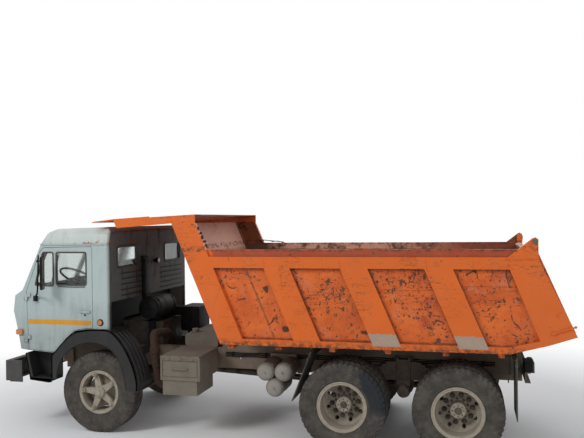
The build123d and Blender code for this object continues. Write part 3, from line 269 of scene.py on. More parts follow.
def bed_paint(name):
    """Orange paint, redder on the pressed panels, with chips, scrapes, rust and a worn, rusty inside; painted
    sunlight on the upper inside faces, painted shade on the front posts' inner faces and on the rear of the
    far lip.
    """
    f = Finish(name, (0.6, 0.13, 0.025), 0.48, specular=0.22)
    x = f.x - AXLE_X
    side = abs(f.y)
    blotch = f.noise(0.7, 5.0)
    tone = f.mix(blotch, (0.56, 0.098, 0.008), (0.7, 0.135, 0.014))
    panel = side.below(1.22, 0.004) * side.above(1.15, 0.004) * f.z.below(2.15, 0.01)
    faded = f.mix(f.noise(0.28, 6.0, 0.68).above(0.5, 0.12), (0.46, 0.07, 0.011), (0.68, 0.142, 0.023))
    tone = f.mix(panel * 0.75, tone, faded)
    pink = f.noise(0.3, 6.0, 0.7, shift=3.0).above(0.6, 0.06)
    tone = f.mix(pink * panel * 0.45, tone, (0.52, 0.2, 0.12))
    crimson = f.noise(0.22, 4.0, 0.6, shift=8.0).above(0.66, 0.03)
    tone = f.mix(crimson * panel * 0.65, tone, (0.34, 0.03, 0.022))
    behind_front = (x + (f.z - 1.215) * BED_LEAN).above(1.734, 0.004)
    inside = side.below(1.169, 0.0005) * f.z.above(1.235, 0.004) * behind_front
    inside = inside * (x + (f.z - 1.454) * 0.479).below(5.752, 0.003)
    worn = f.mix(f.noise(0.25, 7.0, 0.7), (0.1, 0.034, 0.018), (0.2, 0.095, 0.055))
    # Upper inside faces, mostly the front wall, turn pale pink: faded paint, lightened as painted sunlight.
    high = f.z.above(2.28, 0.05) * (side + f.noise(0.3, 4.0) * 0.06).below(1.12, 0.02)
    worn = f.mix(high * f.noise(0.4, 6.0, 0.7).above(0.36, 0.1), worn, (0.72, 0.36, 0.27))
    floor = f.z.below(1.6, 0.35) * f.noise(0.3, 6.0).above(0.4, 0.1)
    worn = f.mix(floor, worn, (0.075, 0.05, 0.036))
    tone = f.mix(inside, tone, worn)
    # The front posts' inner faces above the walls' top edge are dark rust-brown: rust, darkened as painted
    # shade.
    shaded_cheek = side.near(PANEL_OUT, 0.0015,
                      0.001) * behind_front * f.z.above(2.362, 0.003) * f.z.below(2.7, 0.01)
    brown = f.mix(f.noise(0.08, 6.0, 0.7), (0.085, 0.022, 0.012), (0.26, 0.07, 0.03))
    tone = f.mix(shaded_cheek * 0.9, tone, brown)
    lip = side.below(1.222, 0.003) * side.above(1.167, 0.0005) * x.above(1.62, 0.02)
    lip = lip * f.z.above(2.268, 0.004) * f.z.below(2.368, 0.004)
    red = f.mix(f.noise(0.12, 6.0, 0.7), (0.16, 0.022, 0.014), (0.42, 0.07, 0.028))
    patches = f.noise(0.2, 5.0, 0.7, shift=4.0).above(0.44, 0.05)
    salmon = f.mix(patches, (0.14, 0.04, 0.022), (0.74, 0.36, 0.25))
    # On the far side the lip's salmon patches fade into the darker red towards the rear: painted shade.
    far_front = f.y.above(0.0, 0.01) * x.below(4.1, 0.6)
    tone = f.mix(lip * 0.85, tone, f.mix(far_front, red, salmon))
    lean = x + (f.z - 2.14) * BED_LEAN
    clusters = f.noise(0.32, 3.0, 0.5, shift=1.5)
    grain = f.noise(0.03, 6.0, 0.7, (1.0, 1.0, 0.75), 5.0)
    chips = (grain + clusters * 0.2 + panel * 0.055).above(0.742, 0.01)
    long_scratch = f.noise(0.1, 4.0, 0.6, (0.22, 1.0, 2.6), 14.0)
    chips = chips.larger(long_scratch.near(0.5, 0.0045, 0.002) * clusters.above(0.55, 0.02))
    scrape = f.noise(0.16, 3.0, 0.55, (0.35, 1.0, 3.4), 6.0)
    scrapes = scrape.near(0.53, 0.004, 0.0014) * clusters.above(0.49, 0.03) * (0.35 + panel * 0.65)
    curls = f.noise(0.34, 1.0, 0.5, shift=21.0).near(0.5, 0.01, 0.004)
    curls = curls * f.noise(0.17, 2.0, 0.5, shift=23.0).above(0.575, 0.02)
    scrapes = scrapes.larger(curls * (0.15 + panel * 0.85))
    corner = lean.near(2.032, 0.012, 0.01)
    for edge in (*[x0 + dx for x0 in RIBS_AT_RAIL for dx in (0.0, RIB_LENGTH)], 5.082):
        corner = corner.larger(lean.near(edge, 0.012, 0.01))
    for edge in (2.134, 1.294):
        corner = corner.larger(f.z.near(edge, 0.012, 0.01))
    corner = corner * panel * f.noise(0.09, 5.0, 0.7, shift=13.0).above(0.42, 0.1)
    tone = f.mix(corner * 0.75, tone, (0.085, 0.032, 0.016))
    bottom = f.z.below(1.27, 0.035) * f.noise(0.06, 6.0, 0.7).above(0.5, 0.06)
    top = f.z.above(2.335, 0.01) * f.z.below(2.4, 0.01) * f.noise(0.07, 6.0, 0.7).above(0.52, 0.05)
    deep = (f.noise(0.085, 7.0, 0.7, shift=9.0) + clusters * 0.2).above(0.7, 0.012)
    deep = deep * (panel * 0.9 + 0.1).above(0.5)
    rust = chips.larger(scrapes).larger(bottom * 0.8).larger(top * 0.8).larger(deep * 0.9)
    brown = f.mix(f.noise(0.012, 5.0), (0.03, 0.017, 0.012), (0.11, 0.042, 0.022))
    tone = f.mix(rust, tone, brown)
    ragged = f.noise(0.09, 6.0, 0.7, shift=12.0) * 0.1
    for middle in (3.3585, 4.3185):
        foot = lean.near(middle, 0.1585, 0.003) * side.above(1.205, 0.004)
        foot = foot * (f.z + ragged).below(1.446, 0.005) * f.z.above(1.256, 0.004)
        bare = f.mix(f.noise(0.03, 6.0), (0.27, 0.2, 0.155), (0.42, 0.315, 0.24))
        tone = f.mix(foot * f.noise(0.025, 6.0, 0.7).above(0.3, 0.04), tone, bare)
    dust = f.noise(0.5, 6.0, 0.7, (1.0, 1.0, 0.4), 2.0).above(0.5, 0.2)
    tone = f.mix(dust * 0.1, tone, (0.34, 0.24, 0.17))
    f.set(colour=tone, roughness=(0.4 + blotch * 0.12 + rust * 0.35 + inside * 0.22).smaller(0.95))
    f.bump(f.noise(0.01, 5.0) * 0.3 - rust * 0.8 + f.noise(0.45, 2.0) * 3.0, 0.22, 0.0025)
    return f.material


def dusty(name, dark, light, dust, roughness=0.7, metallic=0.0, blotch=0.25, oil=0.0):
    """Old paint or casting under road dust that lies thicker low down and in blotches."""
    f = Finish(name, dark, roughness, metallic, specular=0.3)
    base = f.mix(f.noise(blotch, 6.0, 0.65), dark, light)
    caked = f.noise(blotch * 0.7, 8.0, 0.7, shift=4.0)
    amount = (caked.above(0.52, 0.16) * 0.65 + f.z.below(0.8, 0.5) * 0.2).smaller(0.9)
    tone = f.mix(amount, base, dust)
    rust = f.noise(0.045, 7.0, 0.75, shift=7.0).above(0.665, 0.03)
    tone = f.mix(rust * 0.8, tone, (0.12, 0.05, 0.024))
    rough = roughness + amount * 0.2
    if oil:
        wet = f.noise(0.2, 5.0, 0.6, shift=2.0).above(0.55, 0.06) * oil
        f.set(f.mix(wet, tone, (0.012, 0.01, 0.008)), rough - wet * 0.35)
    else:
        f.set(tone, (rough + rust * 0.1).smaller(0.97))
    f.bump(f.noise(0.008, 5.0) * 0.4 + caked * 0.8 - rust * 0.4, 0.3, 0.002)
    return f.material


def tyre_rubber(name):
    """Rubber under grey-brown dust, with a torn patch on the wall of the first left rear tyre."""
    f = Finish(name, (0.03, 0.029, 0.028), 0.82, specular=0.22)
    dust = f.noise(0.16, 7.0, 0.68)
    tone = f.mix(dust.above(0.44, 0.16), (0.019, 0.0185, 0.018), (0.08, 0.07, 0.058))
    scuff = f.noise(0.05, 6.0, 0.75, shift=3.0).above(0.6, 0.06)
    tone = f.mix(scuff * 0.6, tone, (0.13, 0.115, 0.096))
    x = f.x - REAR_WHEELS_X[0]
    z = f.z - HUB_Z
    torn = (x - z * 0.2 - 0.16 + f.noise(0.12, 5.0) * 0.28).above(0.14, 0.015)
    torn = torn * z.above(-0.05, 0.06) * x.above(0.05, 0.02) * x.below(0.55, 0.01) * f.y.below(-1.13, 0.01)
    torn = torn * (x * x + z * z).above(0.105, 0.01)
    tone = f.mix(torn * 0.9, tone, (0.018, 0.021, 0.028))
    f.set(colour=tone, roughness=0.74 + dust * 0.2)
    f.bump(f.noise(0.006, 4.0) * 0.4 + dust * 0.6 - torn * 1.5, 0.3, 0.0015)
    return f.material


def moulding(name, base, dust, streak=0.6):
    """Dark moulded plastic with pale vertical streaks of dust."""
    f = Finish(name, base, 0.6, specular=0.25)
    streaks = f.noise(0.06, 6.0, 0.7, (1.0, 1.0, 0.18))
    patches = f.noise(0.4, 6.0, 0.65)
    amount = streaks.above(0.5, 0.14) * 0.5 + patches.above(0.5, 0.12) * 0.55
    amount = (amount + f.z.below(0.9, 0.35) * 0.35) * streak
    f.set(colour=f.mix(amount.smaller(0.92), base, dust), roughness=0.5 + amount * 0.35)
    f.bump(f.noise(0.004, 3.0) * 0.5 + patches * 0.8, 0.18, 0.0012)
    return f.material


def worn_cloth(name):
    """A plain weave with pilling and darker, greasy patches."""
    f = Finish(name, (0.055, 0.047, 0.042), 0.9)
    weave = f.bands("X", 160.0) * f.bands("Y", 160.0)
    patches = f.noise(0.18, 5.0)
    tone = f.mix(patches, (0.034, 0.029, 0.027), (0.085, 0.072, 0.062))
    f.set(colour=f.mix(weave * 0.35, tone, (0.11, 0.1, 0.09)), roughness=0.85 + patches * 0.1)
    f.shader.inputs["Sheen Weight"].default_value = 0.25
    f.bump(weave + patches * 0.8, 0.35, 0.001)
    return f.material


def dusty_glass(name):
    """Clear glass with a thin, blotchy film of dust."""
    f = Finish(name, (0.82, 0.88, 0.87), 0.04)
    f.shader.inputs["Transmission Weight"].default_value = 1.0
    f.shader.inputs["IOR"].default_value = 1.45
    film = f.noise(0.25, 6.0, 0.7) * 0.2 + f.noise(0.02, 3.0) * 0.05
    f.set(roughness=film * 0.7, colour=f.mix(film * 1.3, (0.86, 0.92, 0.91), (0.45, 0.43, 0.38)))
    f.bump(f.noise(0.3, 2.0), 0.03, 0.001)
    return f.material


def lens(name, deep, bright):
    """A moulded lens with a fine grid of prisms and a dust film."""
    f = Finish(name, bright, 0.25, coat=0.5)
    prisms = f.bands("X", 45.0) * f.bands("Z", 45.0)
    dust = f.noise(0.02, 5.0)
    tone = f.mix(prisms, deep, bright)
    f.set(colour=f.mix(dust.above(0.56, 0.12) * 0.35, tone, (0.35, 0.27, 0.2)), roughness=0.22 + dust * 0.25)
    f.bump(prisms, 0.25, 0.0015)
    return f.material


def ground_steel(name):
    """Oiled steel tube with fine rings and brown staining."""
    f = Finish(name, (0.42, 0.41, 0.39), 0.28, 0.9)
    stain = f.noise(0.08, 6.0, 0.7)
    rings = f.noise(0.004, 3.0, 0.5, (0.1, 0.1, 1.0))
    tone = f.mix(stain.above(0.5, 0.1), (0.42, 0.41, 0.39), (0.16, 0.11, 0.07))
    f.set(colour=tone, roughness=0.22 + stain * 0.3 + rings * 0.1)
    f.bump(rings, 0.08, 0.0004)
    return f.material


def black_paint(name):
    """Black paint, a little dusty and worn to brown metal in spots."""
    f = Finish(name, (0.012, 0.012, 0.013), 0.4, specular=0.18)
    dust = f.noise(0.12, 6.0, 0.7)
    worn = f.noise(0.03, 6.0, 0.75, shift=2.0).above(0.66, 0.03)
    tone = f.mix(dust.above(0.56, 0.12) * 0.35, (0.004, 0.004, 0.005), (0.024, 0.021, 0.018))
    f.set(colour=f.mix(worn, tone, (0.05, 0.026, 0.016)), roughness=0.48 + dust * 0.3 + worn * 0.2)
    f.bump(f.noise(0.01, 4.0) * 0.3 - worn * 0.5, 0.2, 0.001)
    return f.material


# Each slot's maker with its values
FINISHES = {
    "cab_paint": (cab_paint,),
    "bed_paint": (bed_paint,),
    "chassis_paint": (dusty, (0.082, 0.064, 0.05), (0.16, 0.122, 0.09), (0.24, 0.185, 0.136)),
    "dusty_steel": (dusty, (0.085, 0.072, 0.056), (0.15, 0.128, 0.102), (0.2, 0.168, 0.13)),
    "mudguard": (moulding, (0.009, 0.01, 0.012), (0.046, 0.042, 0.037), 0.5),
    "bumper_paint": (moulding, (0.03, 0.031, 0.033), (0.095, 0.088, 0.078)),
    "tyre": (tyre_rubber,),
    "wheel_paint": (dusty, (0.13, 0.111, 0.087), (0.32, 0.276, 0.217), (0.39, 0.338, 0.267), 0.7, 0.0, 0.07),
    "cast_iron": (dusty, (0.04, 0.032, 0.026), (0.09, 0.072, 0.055), (0.15, 0.12, 0.09), 0.6, 0.3, 0.15, 0.8),
    "spring_steel": (dusty, (0.055, 0.043, 0.034), (0.11, 0.088, 0.068), (0.17, 0.14, 0.105), 0.65, 0.4, 0.1),
    "tank_paint": (dusty, (0.16, 0.148, 0.132), (0.27, 0.255, 0.23), (0.31, 0.28, 0.235), 0.7, 0.0, 0.12),
    "rusty_pipe": (dusty, (0.026, 0.012, 0.008), (0.06, 0.027, 0.016), (0.062, 0.043, 0.031), 0.85, 0.2,
                   0.08),
    "black_steel": (black_paint,),
    "flap_rubber": (moulding, (0.02, 0.02, 0.02), (0.12, 0.105, 0.085), 0.8),
    "glass": (dusty_glass,),
    "interior_plastic": (moulding, (0.024, 0.022, 0.021), (0.07, 0.062, 0.052), 0.45),
    "seat_cloth": (worn_cloth,),
    "lamp_glass": (lens, (0.2, 0.01, 0.006), (0.42, 0.02, 0.012)),
    "amber_lens": (lens, (0.38, 0.11, 0.01), (0.66, 0.23, 0.02)),
    "headlamp_glass": (lens, (0.3, 0.32, 0.32), (0.62, 0.64, 0.63)),
    "rod_steel": (ground_steel,),
}
MADE = {}


def skin(rows, n, closed=True, looped=False, capped=False):
    """Faces between rows of n points; looped joins the last row to the first, capped closes both ends."""
    faces = [(r * n + k, r * n + (k + 1) % n, (r + 1) % rows * n + (k + 1) % n, (r + 1) % rows * n + k)
             for r in range(rows if looped else rows - 1) for k in range(n if closed else n - 1)]
    if capped:
        faces += [tuple(range(n))[::-1], tuple(range((rows - 1) * n, rows * n))]
    return faces


class Forge:
    """Gathers plates, turned shapes, bent bars and bolts into the mesh of one piece."""

    def __init__(self):
        self.points = []
        self.faces = []

    def add(self, points, faces, place=None):
        """Takes points, moved to the place, and the faces that number them."""
        base = len(self.points)
        self.points += [place @ Vector(p) if place else Vector(p) for p in points]
        self.faces += [tuple(base + i for i in face) for face in faces]

    def turned(self, profile, place=None, sides=24):
        """Turns (radius, height) points about the place's z; a radius of 0 closes the end."""
        rows, faces, points = [], [], []
        for radius, height in profile:
            if radius < 1e-6:
                rows.append([len(points)] * sides)
                points.append((0.0, 0.0, height))
                continue
            rows.append(list(range(len(points), len(points) + sides)))
            points += [(radius * cos(TURN * k / sides), radius * sin(TURN * k / sides), height)
                       for k in range(sides)]
        for a, b in zip(rows, rows[1:]):
            for k in range(sides):
                n = (k + 1) % sides
                faces.append(tuple(dict.fromkeys((a[k], a[n], b[n], b[k]))))
        self.add(points, faces, place)

    def plate(self, outline, low, high, place=None, edge=0.0):
        """Extrudes an outline in the place's x and y, with its upper edge chamfered."""
        middle = sum((Vector(p) for p in outline), Vector((0, 0))) / len(outline)
        inner = [Vector(p) + (middle - Vector(p)).normalized() * edge for p in outline]
        rows = [(outline, low), (outline, high - edge)] + ([(inner, high)] if edge else [])
        points = [(p[0], p[1], z) for row, z in rows for p in row]
        self.add(points, skin(len(rows), len(outline), capped=True), place)

    def slab(self, outline, y0, y1):
        """A plate across the truck, drawn in side view as x from the front axle and z."""
        self.add([at(x, y, z) for y in (y0, y1) for x, z in outline], skin(2, len(outline), capped=True))

    def band(self, line, thick, y0, y1):
        """A curved sheet across the truck along a side-view line, thick towards its right."""
        inner = []
        for k, (x, z) in enumerate(line):
            ax, az = line[max(k - 1, 0)]
            bx, bz = line[min(k + 1, len(line) - 1)]
            along = Vector((bx - ax, bz - az)).normalized()
            inner.append((x + along.y * thick, z - along.x * thick))
        self.slab(line + inner[::-1], y0, y1)

    def brick(self, x, y, z, radius, edge=0.004):
        """A block with rounded corners in plan and its upper and lower edges chamfered."""
        wide = box(x, y, radius, 3)
        narrow = box((x[0] + edge, x[1] - edge), (y[0] + edge, y[1] - edge), radius, 3)
        levels = ((narrow, z[0]), (wide, z[0] + edge), (wide, z[1] - edge), (narrow, z[1]))
        points = [(*p, height) for row, height in levels for p in row]
        self.add(points, skin(4, len(wide), capped=True), Matrix.Translation((AXLE_X, 0, 0)))

    def rod(self, path, radius, sides=10, flat=1.0):
        """A bar along points given from the front axle."""
        self.bar([at(*p) for p in path], radius, sides, flat)

    def bar(self, path, radius, sides=10, flat=1.0):
        """A bar or moulding along a line, round or flattened across its second direction."""
        path = [Vector(p) for p in path]
        points, side = [], None
        for k, here in enumerate(path):
            along = (path[min(k + 1, len(path) - 1)] - path[max(k - 1, 0)]).normalized()
            if side is None:
                side = along.orthogonal().normalized()
            side = (side - along * side.dot(along)).normalized()
            other = along.cross(side)
            for turn in (TURN * i / sides for i in range(sides)):
                points.append(here + side * radius * cos(turn) + other * radius * flat * sin(turn))
        self.add(points, skin(len(path), sides, capped=True))

    def seal(self, outline, place, width, depth):
        """A soft-edged rubber strip laid along a closed outline in the place's x and y."""
        count = len(outline)
        section = ((-1.0, 0.0), (-0.8, 0.7), (-0.3, 1.0), (0.3, 1.0), (0.8, 0.7), (1.0, 0.0))
        points = []
        for k, here in enumerate(outline):
            along = (Vector(outline[(k + 1) % count]) - Vector(outline[k - 1])).normalized()
            across = Vector((along.y, -along.x))
            for u, v in section:
                spot = Vector(here) + across * u * width / 2
                points.append((spot.x, spot.y, v * depth))
        self.add(points, skin(count, len(section), closed=False, looped=True), place)

    def bolt(self, place, size, height=None, washer=True):
        """A hexagon head with a chamfered top on its washer; size is across the flats."""
        height = height or size * 0.6
        base = 0.0
        if washer:
            rim = ((0.95, 0.0), (0.95, 0.1), (0.9, 0.14), (0.0, 0.14))
            self.turned([(size * r, size * h) for r, h in rim], place, 16)
            base = size * 0.12
        corner = size * 0.577
        self.turned([(corner, base), (corner, base + height * 0.82), (corner * 0.86, base + height),
                     (0.0, base + height)], place, 6)

    def piece(self, name, body, slot, smooth=32):
        """Makes the object, shaded smooth up to an angle, in its slot and on its body."""
        mesh = bpy.data.meshes.new(name)
        mesh.from_pydata([tuple(p) for p in self.points], [], self.faces)
        mesh.validate()
        tidy = bmesh.new()
        tidy.from_mesh(mesh)
        bmesh.ops.recalc_face_normals(tidy, faces=tidy.faces)
        tidy.to_mesh(mesh)
        tidy.free()
        mesh.shade_smooth()
        mesh.set_sharp_from_angle(angle=radians(smooth))
        piece = bpy.data.objects.new(name, mesh)
        bpy.context.scene.collection.objects.link(piece)
        if slot:
            mesh.materials.append(MADE[slot])
        if body:
            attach(piece, body)
        return piece


def facing(origin, towards, roll=0.0):
    """A place whose z points towards a direction."""
    z = Vector(towards).normalized()
    helper = Vector((0, 0, 1)) if abs(z.z) < 0.9 else Vector((1, 0, 0))
    x = helper.cross(z).normalized()
    y = z.cross(x)
    turned = Matrix((x, y, z)).transposed() @ Matrix.Rotation(roll, 3, "Z")
    place = turned.to_4x4()
    place.translation = origin
    return place


def shifted(place, x, y, z=0.0):
    """The place, moved along its own axes."""
    return place @ Matrix.Translation((x, y, z))


def span(sign, near, far):
    """The range between two distances on one side of the truck."""
    return sorted((sign * near, sign * far))


def about(middle, half):
    """The range round a middle."""
    return middle - half, middle + half


def box(x, y, radius, steps=5):
    """A closed rectangle with rounded corners, from its two ranges."""
    return rounded([(x[0], y[0]), (x[1], y[0]), (x[1], y[1]), (x[0], y[1])], radius, steps)


def rounded(corners, radius, steps=5):
    """The closed outline with its corners rounded."""
    outline = []
    count = len(corners)
    for k, corner in enumerate(corners):
        here = Vector(corner)
        into = (Vector(corners[k - 1]) - here).normalized()
        out = (Vector(corners[(k + 1) % count]) - here).normalized()
        for i in range(steps + 1):
            t = i / steps
            a, b = here + into * radius, here + out * radius
            outline.append(tuple(a * (1 - t) ** 2 + here * 2 * t * (1 - t) + b * t ** 2))
    return outline


def smoothed(line, radius, steps=6):
    """An open line with its inner corners rounded."""
    out = [line[0]]
    for before, corner, after in zip(line, line[1:], line[2:]):
        here = Vector(corner)
        reach_in = min(radius, (Vector(before) - here).length * 0.48)
        reach_out = min(radius, (Vector(after) - here).length * 0.48)
        a = here + (Vector(before) - here).normalized() * reach_in
        b = here + (Vector(after) - here).normalized() * reach_out
        out += [tuple(a * (1 - t) ** 2 + here * 2 * t * (1 - t) + b * t ** 2) for t in
                (k / steps for k in range(steps + 1))]
    return out + [line[-1]]


def ring_places(x, y, radius, count, side, start=0.0):
    """Places on a circle round a wheel's axis, facing outwards from the truck."""
    for k in range(count):
        turn = start + TURN * k / count
        yield facing((x + radius * cos(turn), y, HUB_Z + radius * sin(turn)), (0, side, 0), turn)


def tyre_shape(forge, x, y, bead, traction):
    """A tyre whose blocks, grooves and wall rings are in its own surface."""
    pitches = 46 if traction else 56
    deep = 0.013 if traction else 0.01
    steps = (0.0, 0.6, 0.635, 0.965) if traction else (0.0, 0.86, 0.885, 0.975)
    low_wall = ((-0.017, 0.093), (0.001, 0.097), (0.006, 0.103), (0.02, 0.116), (0.026, 0.119),
                (0.028, 0.1225), (0.034, 0.1225), (0.037, 0.122), (0.06, 0.131), (0.09, 0.136))
    wall = [(bead + rise, w) for rise, w in low_wall]
    wall += [(0.4, 0.138), (0.41, 0.1375), (0.412, 0.1392), (0.416, 0.1392), (0.418, 0.1372), (0.44, 0.1335),
             (0.46, 0.129)]
    shoulder = [(0.474, 0.125, 0.35), (0.478, 0.1238, 0.9), (0.5, 0.1165, 1.0), (0.51, 0.1125, 1.0)]
    half = TREAD_HALF_WIDTH
    grooves = ((0.0, 0.01),) if traction else ((-0.052, 0.008), (0.0, 0.008), (0.052, 0.008))
    edges = sorted({round(v, 4) for c, w in grooves for v in (c - w - 0.002, c - w, c + w, c + w + 0.002)}
                   | {round(-half, 4), round(half, 4), -0.08, -0.03, 0.03, 0.08})
    rows = [(r, -w, 0.0, 0.0, 0.0) for r, w in wall] + [(r, -w, 0.0, share, 1.0) for r, w, share in shoulder]
    for w in edges:
        cut = 1.0 if any(abs(w - c) <= half_w + 1e-4 for c, half_w in grooves) else 0.0
        side_share = 1.0 if abs(w) > (0.035 if traction else 0.078) else (0.55 if traction else 0.0)
        rows.append((TYRE_R - 0.004 * (abs(w) / half) ** 2, w, cut, side_share, 0.0))
    rows += [(r, w, 0.0, share, 1.0) for r, w, share in reversed(shoulder)]
    rows += [(r, w, 0.0, 0.0, 0.0) for r, w in reversed(wall)]
    points = []
    for k in range(pitches):
        for where, lateral in zip(steps, (0, 0, 1, 1)):
            for r, w, cut, share, outwards in rows:
                slant = (0.42 * abs(w) / half if traction else 0.16 * sin(w * 60)) + (0.5 if w > 0 else 0.0)
                zig = 0.006 * (1 if (where < 0.5) else -1) if cut and not traction else 0.0
                turn = TURN * (k + where + slant * min(1.0, max(0.0, (r - 0.46) / 0.04))) / pitches
                fall = deep * max(cut, lateral * share)
                if outwards:
                    radius, across = r - fall * 0.35, w - (1 if w > 0 else -1) * fall * 0.55
                else:
                    radius, across = r - fall, w + zig
                points.append((x + radius * cos(turn), y + across, HUB_Z + radius * sin(turn)))
    forge.add(points, skin(pitches * len(steps), len(rows), looped=True))


class DUMPTRUCK_OT_tyres(bpy.types.Operator):
    """Moulds the tyres with their blocks, grooves and rings, in place of the plain ones."""

    bl_idname = "dumptruck.tyres"
    bl_label = "Tyres"

    def execute(self, context):
        for side, sign in SIDES:
            forge = Forge()
            tyre_shape(forge, AXLE_X, sign * FRONT_WHEEL_Y, FRONT_FLANGE_R, False)
            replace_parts(forge.piece(f"moulded_front_tyre_{side}", f"front_wheel_{side}", "tyre", 28),
                        f"front_tyre_{side}")
            for number, x in enumerate(REAR_WHEELS_X, 1):
                forge = Forge()
                for shift in (-TWIN_OFFSET, TWIN_OFFSET):
                    tyre_shape(forge, x, sign * REAR_WHEEL_Y + shift, REAR_FLANGE_R, True)
                tyres = forge.piece(f"moulded_rear_tyres_{number}_{side}", f"rear_wheels_{number}_{side}",
                                    "tyre", 28)
                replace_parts(tyres, f"rear_tyres_{number}_{side}")
        return {"FINISHED"}


class DUMPTRUCK_OT_wheel_fittings(bpy.types.Operator):
    """Makes the wheels' nuts, clamps, lock rings, hub bolts and valves."""

    bl_idname = "dumptruck.wheel_fittings"
    bl_label = "Wheel fittings"

    def execute(self, context):
        for side, sign in SIDES:
            body = f"front_wheel_{side}"
            y = sign * FRONT_WHEEL_Y
            forge = Forge()
            clamp = rounded([(-0.03, -0.022), (0.022, -0.017), (0.022, 0.017), (-0.03, 0.022)], 0.008, 3)
            for place in ring_places(AXLE_X, y + sign * 0.0995, 0.228, 5, sign, radians(-40)):
                forge.plate(clamp, 0.0, 0.016, place, 0.004)
                place.translation += Vector((0, sign * 0.015, 0))
                forge.bolt(place, 0.03, 0.026)
            for place in ring_places(AXLE_X, y + sign * 0.1135, 0.0625, 8, sign):
                forge.bolt(place, 0.014, washer=False)
            forge.turned([(0.0, 0.0), (0.036, 0.0), (0.036, 0.007), (0.03, 0.013), (0.0, 0.016)],
                         facing((AXLE_X, y + sign * 0.125, HUB_Z), (0, sign, 0)), 28)
            forge.piece(f"front_wheel_nuts_{side}", body, "wheel_paint")
            self.lock_ring(body, AXLE_X, y, sign, FRONT_FLANGE_R, f"front_lock_ring_{side}")
            y = sign * REAR_WHEEL_Y
            for number, x in enumerate(REAR_WHEELS_X, 1):
                body = f"rear_wheels_{number}_{side}"
                forge = Forge()
                for out, radius, count, start, size, height, washer in (
                    (0.014, 0.16, 10, 0.1, 0.033, 0.03, True),
                    (0.0345, 0.112, 10, 0.4, 0.016, 0.012, True),
                    (0.14, 0.063, 8, 0.0, 0.014, 0.009, False),
                ):
                    for place in ring_places(x, y + sign * out, radius, count, sign, start):
                        forge.bolt(place, size, height, washer)
                forge.turned([(0.0, 0.0), (0.04, 0.0), (0.04, 0.01), (0.034, 0.016), (0.0, 0.018)],
                             facing((x, y + sign * 0.139, HUB_Z), (0, sign, 0)), 28)
                forge.piece(f"rear_wheel_nuts_{number}_{side}", body, "cast_iron")
                self.lock_ring(body, x, y + sign * TWIN_OFFSET, sign, REAR_FLANGE_R,
                               f"rear_lock_ring_{number}_{side}")
        return {"FINISHED"}

    def lock_ring(self, body, x, y, sign, flange, name):
        """The rolled outer edge of the rim, its split ring and the valve."""
        forge = Forge()
        place = facing((x, y + sign * 0.1095, HUB_Z), (0, sign, 0))
        rolled = ((-0.014, -0.004), (-0.01, 0.003), (-0.003, 0.006), (0.005, 0.004), (0.009, -0.002),
                  (0.006, -0.008), (-0.002, -0.006), (-0.014, -0.004))
        split = ((-0.034, -0.012), (-0.032, -0.006), (-0.026, -0.006), (-0.023, -0.012), (-0.034, -0.012))
        for section in (rolled, split):
            forge.turned([(flange + dr, height) for dr, height in section], place, 96)
        valve = Vector((x, y + sign * 0.085, HUB_Z))
        spot = Vector((cos(2.2), 0, sin(2.2)))
        forge.bar([valve + spot * (flange - drop) + Vector((0, sign * out, 0)) for drop, out in
                   ((0.034, 0.0), (0.045, 0.006), (0.052, 0.02), (0.054, 0.04))], 0.0048, 10)
        forge.piece(name, body, "wheel_paint")


def screen_place():
    """A place on the sloping windscreen: x across the cab, y up the glass, z outwards."""
    base, top = at(-1.049, 0.0, 1.831), at(-0.769, 0.0, 2.432)
    up = (top - base).normalized()
    across = Vector((0, -1, 0))
    place = Matrix((across, up, across.cross(up))).transposed().to_4x4()
    place.translation = base
    return place


def side_place(sign, out=CAB_HALF):
    """A place on a side of the truck: x rearwards from the front axle, y up, z outwards."""
    place = Matrix(((1, 0, 0), (0, 0, 1), (0, sign, 0))).transposed().to_4x4()
    place.translation = at(0, sign * out, 0)
    return place


# Turns that face a drawing rearwards or forwards: x across the truck, y up
REARWARDS, FORWARDS = (Matrix(((0, 0, way, 0), (way, 0, 0, 0), (0, 1, 0, 0), (0, 0, 0, 1)))
                       for way in (1, -1))


def end_place(x, turned):
    """A place across the truck at x from the front axle."""
    return Matrix.Translation(at(x, 0, 0)) @ turned


DOOR_WINDOW = [(-0.545, 1.905), (-0.545, 2.325), (-0.113, 2.325), (-0.113, 1.905)]
QUARTER_WINDOW = [(-0.86, 1.895), (-0.745, 2.325), (-0.59, 2.325), (-0.59, 1.89)]


